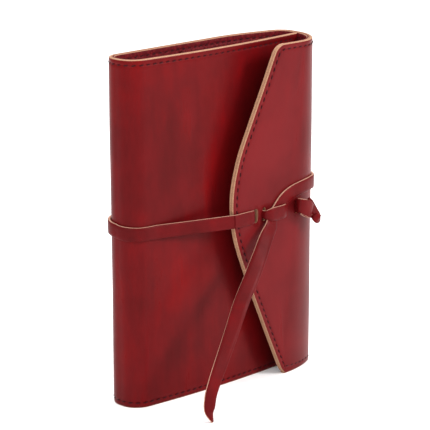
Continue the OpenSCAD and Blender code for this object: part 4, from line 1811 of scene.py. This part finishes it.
@dataclass
class Studio:
    """Camera, lights and floor."""

    wrap: Wrap
    pivot: Point = (50.0, 0.0, 82.5)
    turn: float = 44.753
    lift: float = 14.514
    roll: float = -0.203
    distance: float = 995.99
    slide: tuple[float, float] = (1.496, 2.585)
    lens: float = 176.46

    def camera(self) -> None:
        """Place the camera in front and to the left of the notebook."""
        e, a, rho = (math.radians(v) for v in (self.lift, self.turn, self.roll))
        back = Vector((-math.sin(a) * math.cos(e), -math.cos(a) * math.cos(e), math.sin(e)))
        right = Vector((math.cos(a), -math.sin(a), 0))
        up = back.cross(right)
        side = math.cos(rho) * right + math.sin(rho) * up
        head = -math.sin(rho) * right + math.cos(rho) * up
        place = Vector(self.pivot) + self.distance * back + self.slide[0] * side + self.slide[1] * head
        data = bpy.data.cameras.new("camera")
        data.lens = self.lens
        data.sensor_width = 36.0
        data.clip_start = 0.05
        data.clip_end = 50.0
        obj = bpy.data.objects.new("camera", data)
        turn = Matrix((side, head, back)).transposed()
        obj.matrix_world = Matrix.Translation(self.wrap.row_point(*place)) @ turn.to_4x4()
        bpy.context.scene.collection.objects.link(obj)
        bpy.context.scene.camera = obj

    def light(self, name: str, place: Point, target: Point, size: float, power: float,
              tint: Colour = (1, 1, 1)) -> None:
        """Add one soft square light, aimed at a target."""
        data = bpy.data.lights.new(name, "AREA")
        data.size = size
        data.energy = power
        data.color = tint
        obj = bpy.data.objects.new(name, data)
        obj.location = place
        obj.rotation_euler = (Vector(target) - Vector(place)).to_track_quat("-Z", "Y").to_euler()
        bpy.context.scene.collection.objects.link(obj)

    def build(self) -> None:
        """Build the floor, the lights and the surroundings."""
        middle = (0.0, 0.0, 0.08)
        self.light("key_light", (0.75, -1.35, 0.95), middle, 0.55, 25.0)
        self.light("fill_light", (-1.3, -0.5, 0.9), middle, 1.0, 12.0)
        self.light("top_light", (0.1, 0.3, 1.6), middle, 1.2, 20.0)
        world = bpy.data.worlds.new("studio")
        world.use_nodes = True
        world.node_tree.nodes["Background"].inputs["Color"].default_value = (1, 1, 1, 1)
        world.node_tree.nodes["Background"].inputs["Strength"].default_value = 0.85
        bpy.context.scene.world = world
        bpy.context.scene.view_settings.view_transform = "Standard"
        mesh = bpy.data.meshes.new("floor")
        half = 4.0
        corners = [(-half, -half, 0), (half, -half, 0), (half, half, 0), (-half, half, 0)]
        mesh.from_pydata(corners, [], [(0, 1, 2, 3)])
        floor = bpy.data.objects.new("floor", mesh)
        bpy.context.scene.collection.objects.link(floor)
        material = bpy.data.materials.new("floor_white")
        material.use_nodes = True
        shader = material.node_tree.nodes["Principled BSDF"]
        shader.inputs["Base Color"].default_value = (0.97, 0.97, 0.97, 1)
        shader.inputs["Roughness"].default_value = 0.9
        shader.inputs["Specular IOR Level"].default_value = 0.0
        mesh.materials.append(material)
        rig.stage(floor)


def write_sizes() -> None:
    """Write the CAD box and the visual model's box next to each other."""
    def plain(box: Sequence[Sequence[float]]) -> list[list[float]]:
        """Return a box as plain lists of numbers."""
        return [[float(v) for v in corner] for corner in box]

    with open(SIZE_FILE, "w", encoding="utf-8") as out:
        json.dump({"cad": plain(CAD_BOX), "visual": plain(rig.bounds())}, out)


def main() -> None:
    """Build the studio, the lace, the leather, the stitching, the refill and the sheets."""
    logging.basicConfig(level=logging.INFO, format="%(message)s")
    wrap = Wrap()
    finishes = Finishes()
    studio = Studio(wrap)
    studio.camera()
    thick = wrap.closed
    bends = {
        "spine_front": Bend(Body.SPINE, Body.FRONT, (0.6, 8.0), (7.6, 0.9)),
        "spine_back": Bend(Body.SPINE, Body.BACK, (0.6, thick - 8.0), (7.6, thick - 0.9)),
        "fore_back": Bend(Body.BACK, Body.SIDE, (106.5, 14.8), (112.4, 8.2)),
        "fore_front": Bend(Body.SIDE, Body.FLAP, (112.6, -1.5), (106.0, -10.0)),
    }
    plans = (
        PanelPlan("front", 0.0, 2.5, bends["spine_front"], ("front_cover", "spine_cover"),
                  ("front_lining", "spine_lining"), ("front_thread", "spine_thread"), free_start=True),
        PanelPlan("back", 2.5, 4.5, bends["spine_back"], ("back_cover",), ("back_lining",), ("back_thread",)),
        PanelPlan("fore_edge", 4.5, 8.5, bends["fore_back"], ("side_wall",), ("side_lining",),
                  ("side_thread",)),
        PanelPlan("flap", 8.5, 12.0, bends["fore_front"], ("flap",), ("flap_lining",), ("flap_thread",),
                  free_end=True),
    )
    lace = Lace(wrap, finishes, bends)
    lace.tail()
    lace.build()
    Leather(wrap, finishes, plans).build()
    Stitching(wrap, finishes, plans).build()
    Refill(wrap, finishes).build()
    # Offsets of a sheet's two faces from the outer face of the leather.
    sleeve, card = (-3.62, -4.45), (-3.08, -3.52)
    sheets = (
        SheetPlan("front_pocket", "front_sleeve", Body.FRONT, Slot.SLEEVE, 0.054, 0.425, sleeve, 3.0, True),
        SheetPlan("back_pocket", "back_sleeve", Body.BACK, Slot.SLEEVE, 4.61, 5.99, sleeve, 3.0, True),
        SheetPlan("front_card_cover", "front_card", Body.FRONT, Slot.CARD, 0.058, 0.992, card, 8.5),
        SheetPlan("back_card_cover", "back_card", Body.BACK, Slot.CARD, 4.01, 5.87, card, 8.5),
    )
    Sheets(wrap, finishes, sheets).build()
    studio.build()
    write_sizes()


if __name__ == "__main__":
    main()
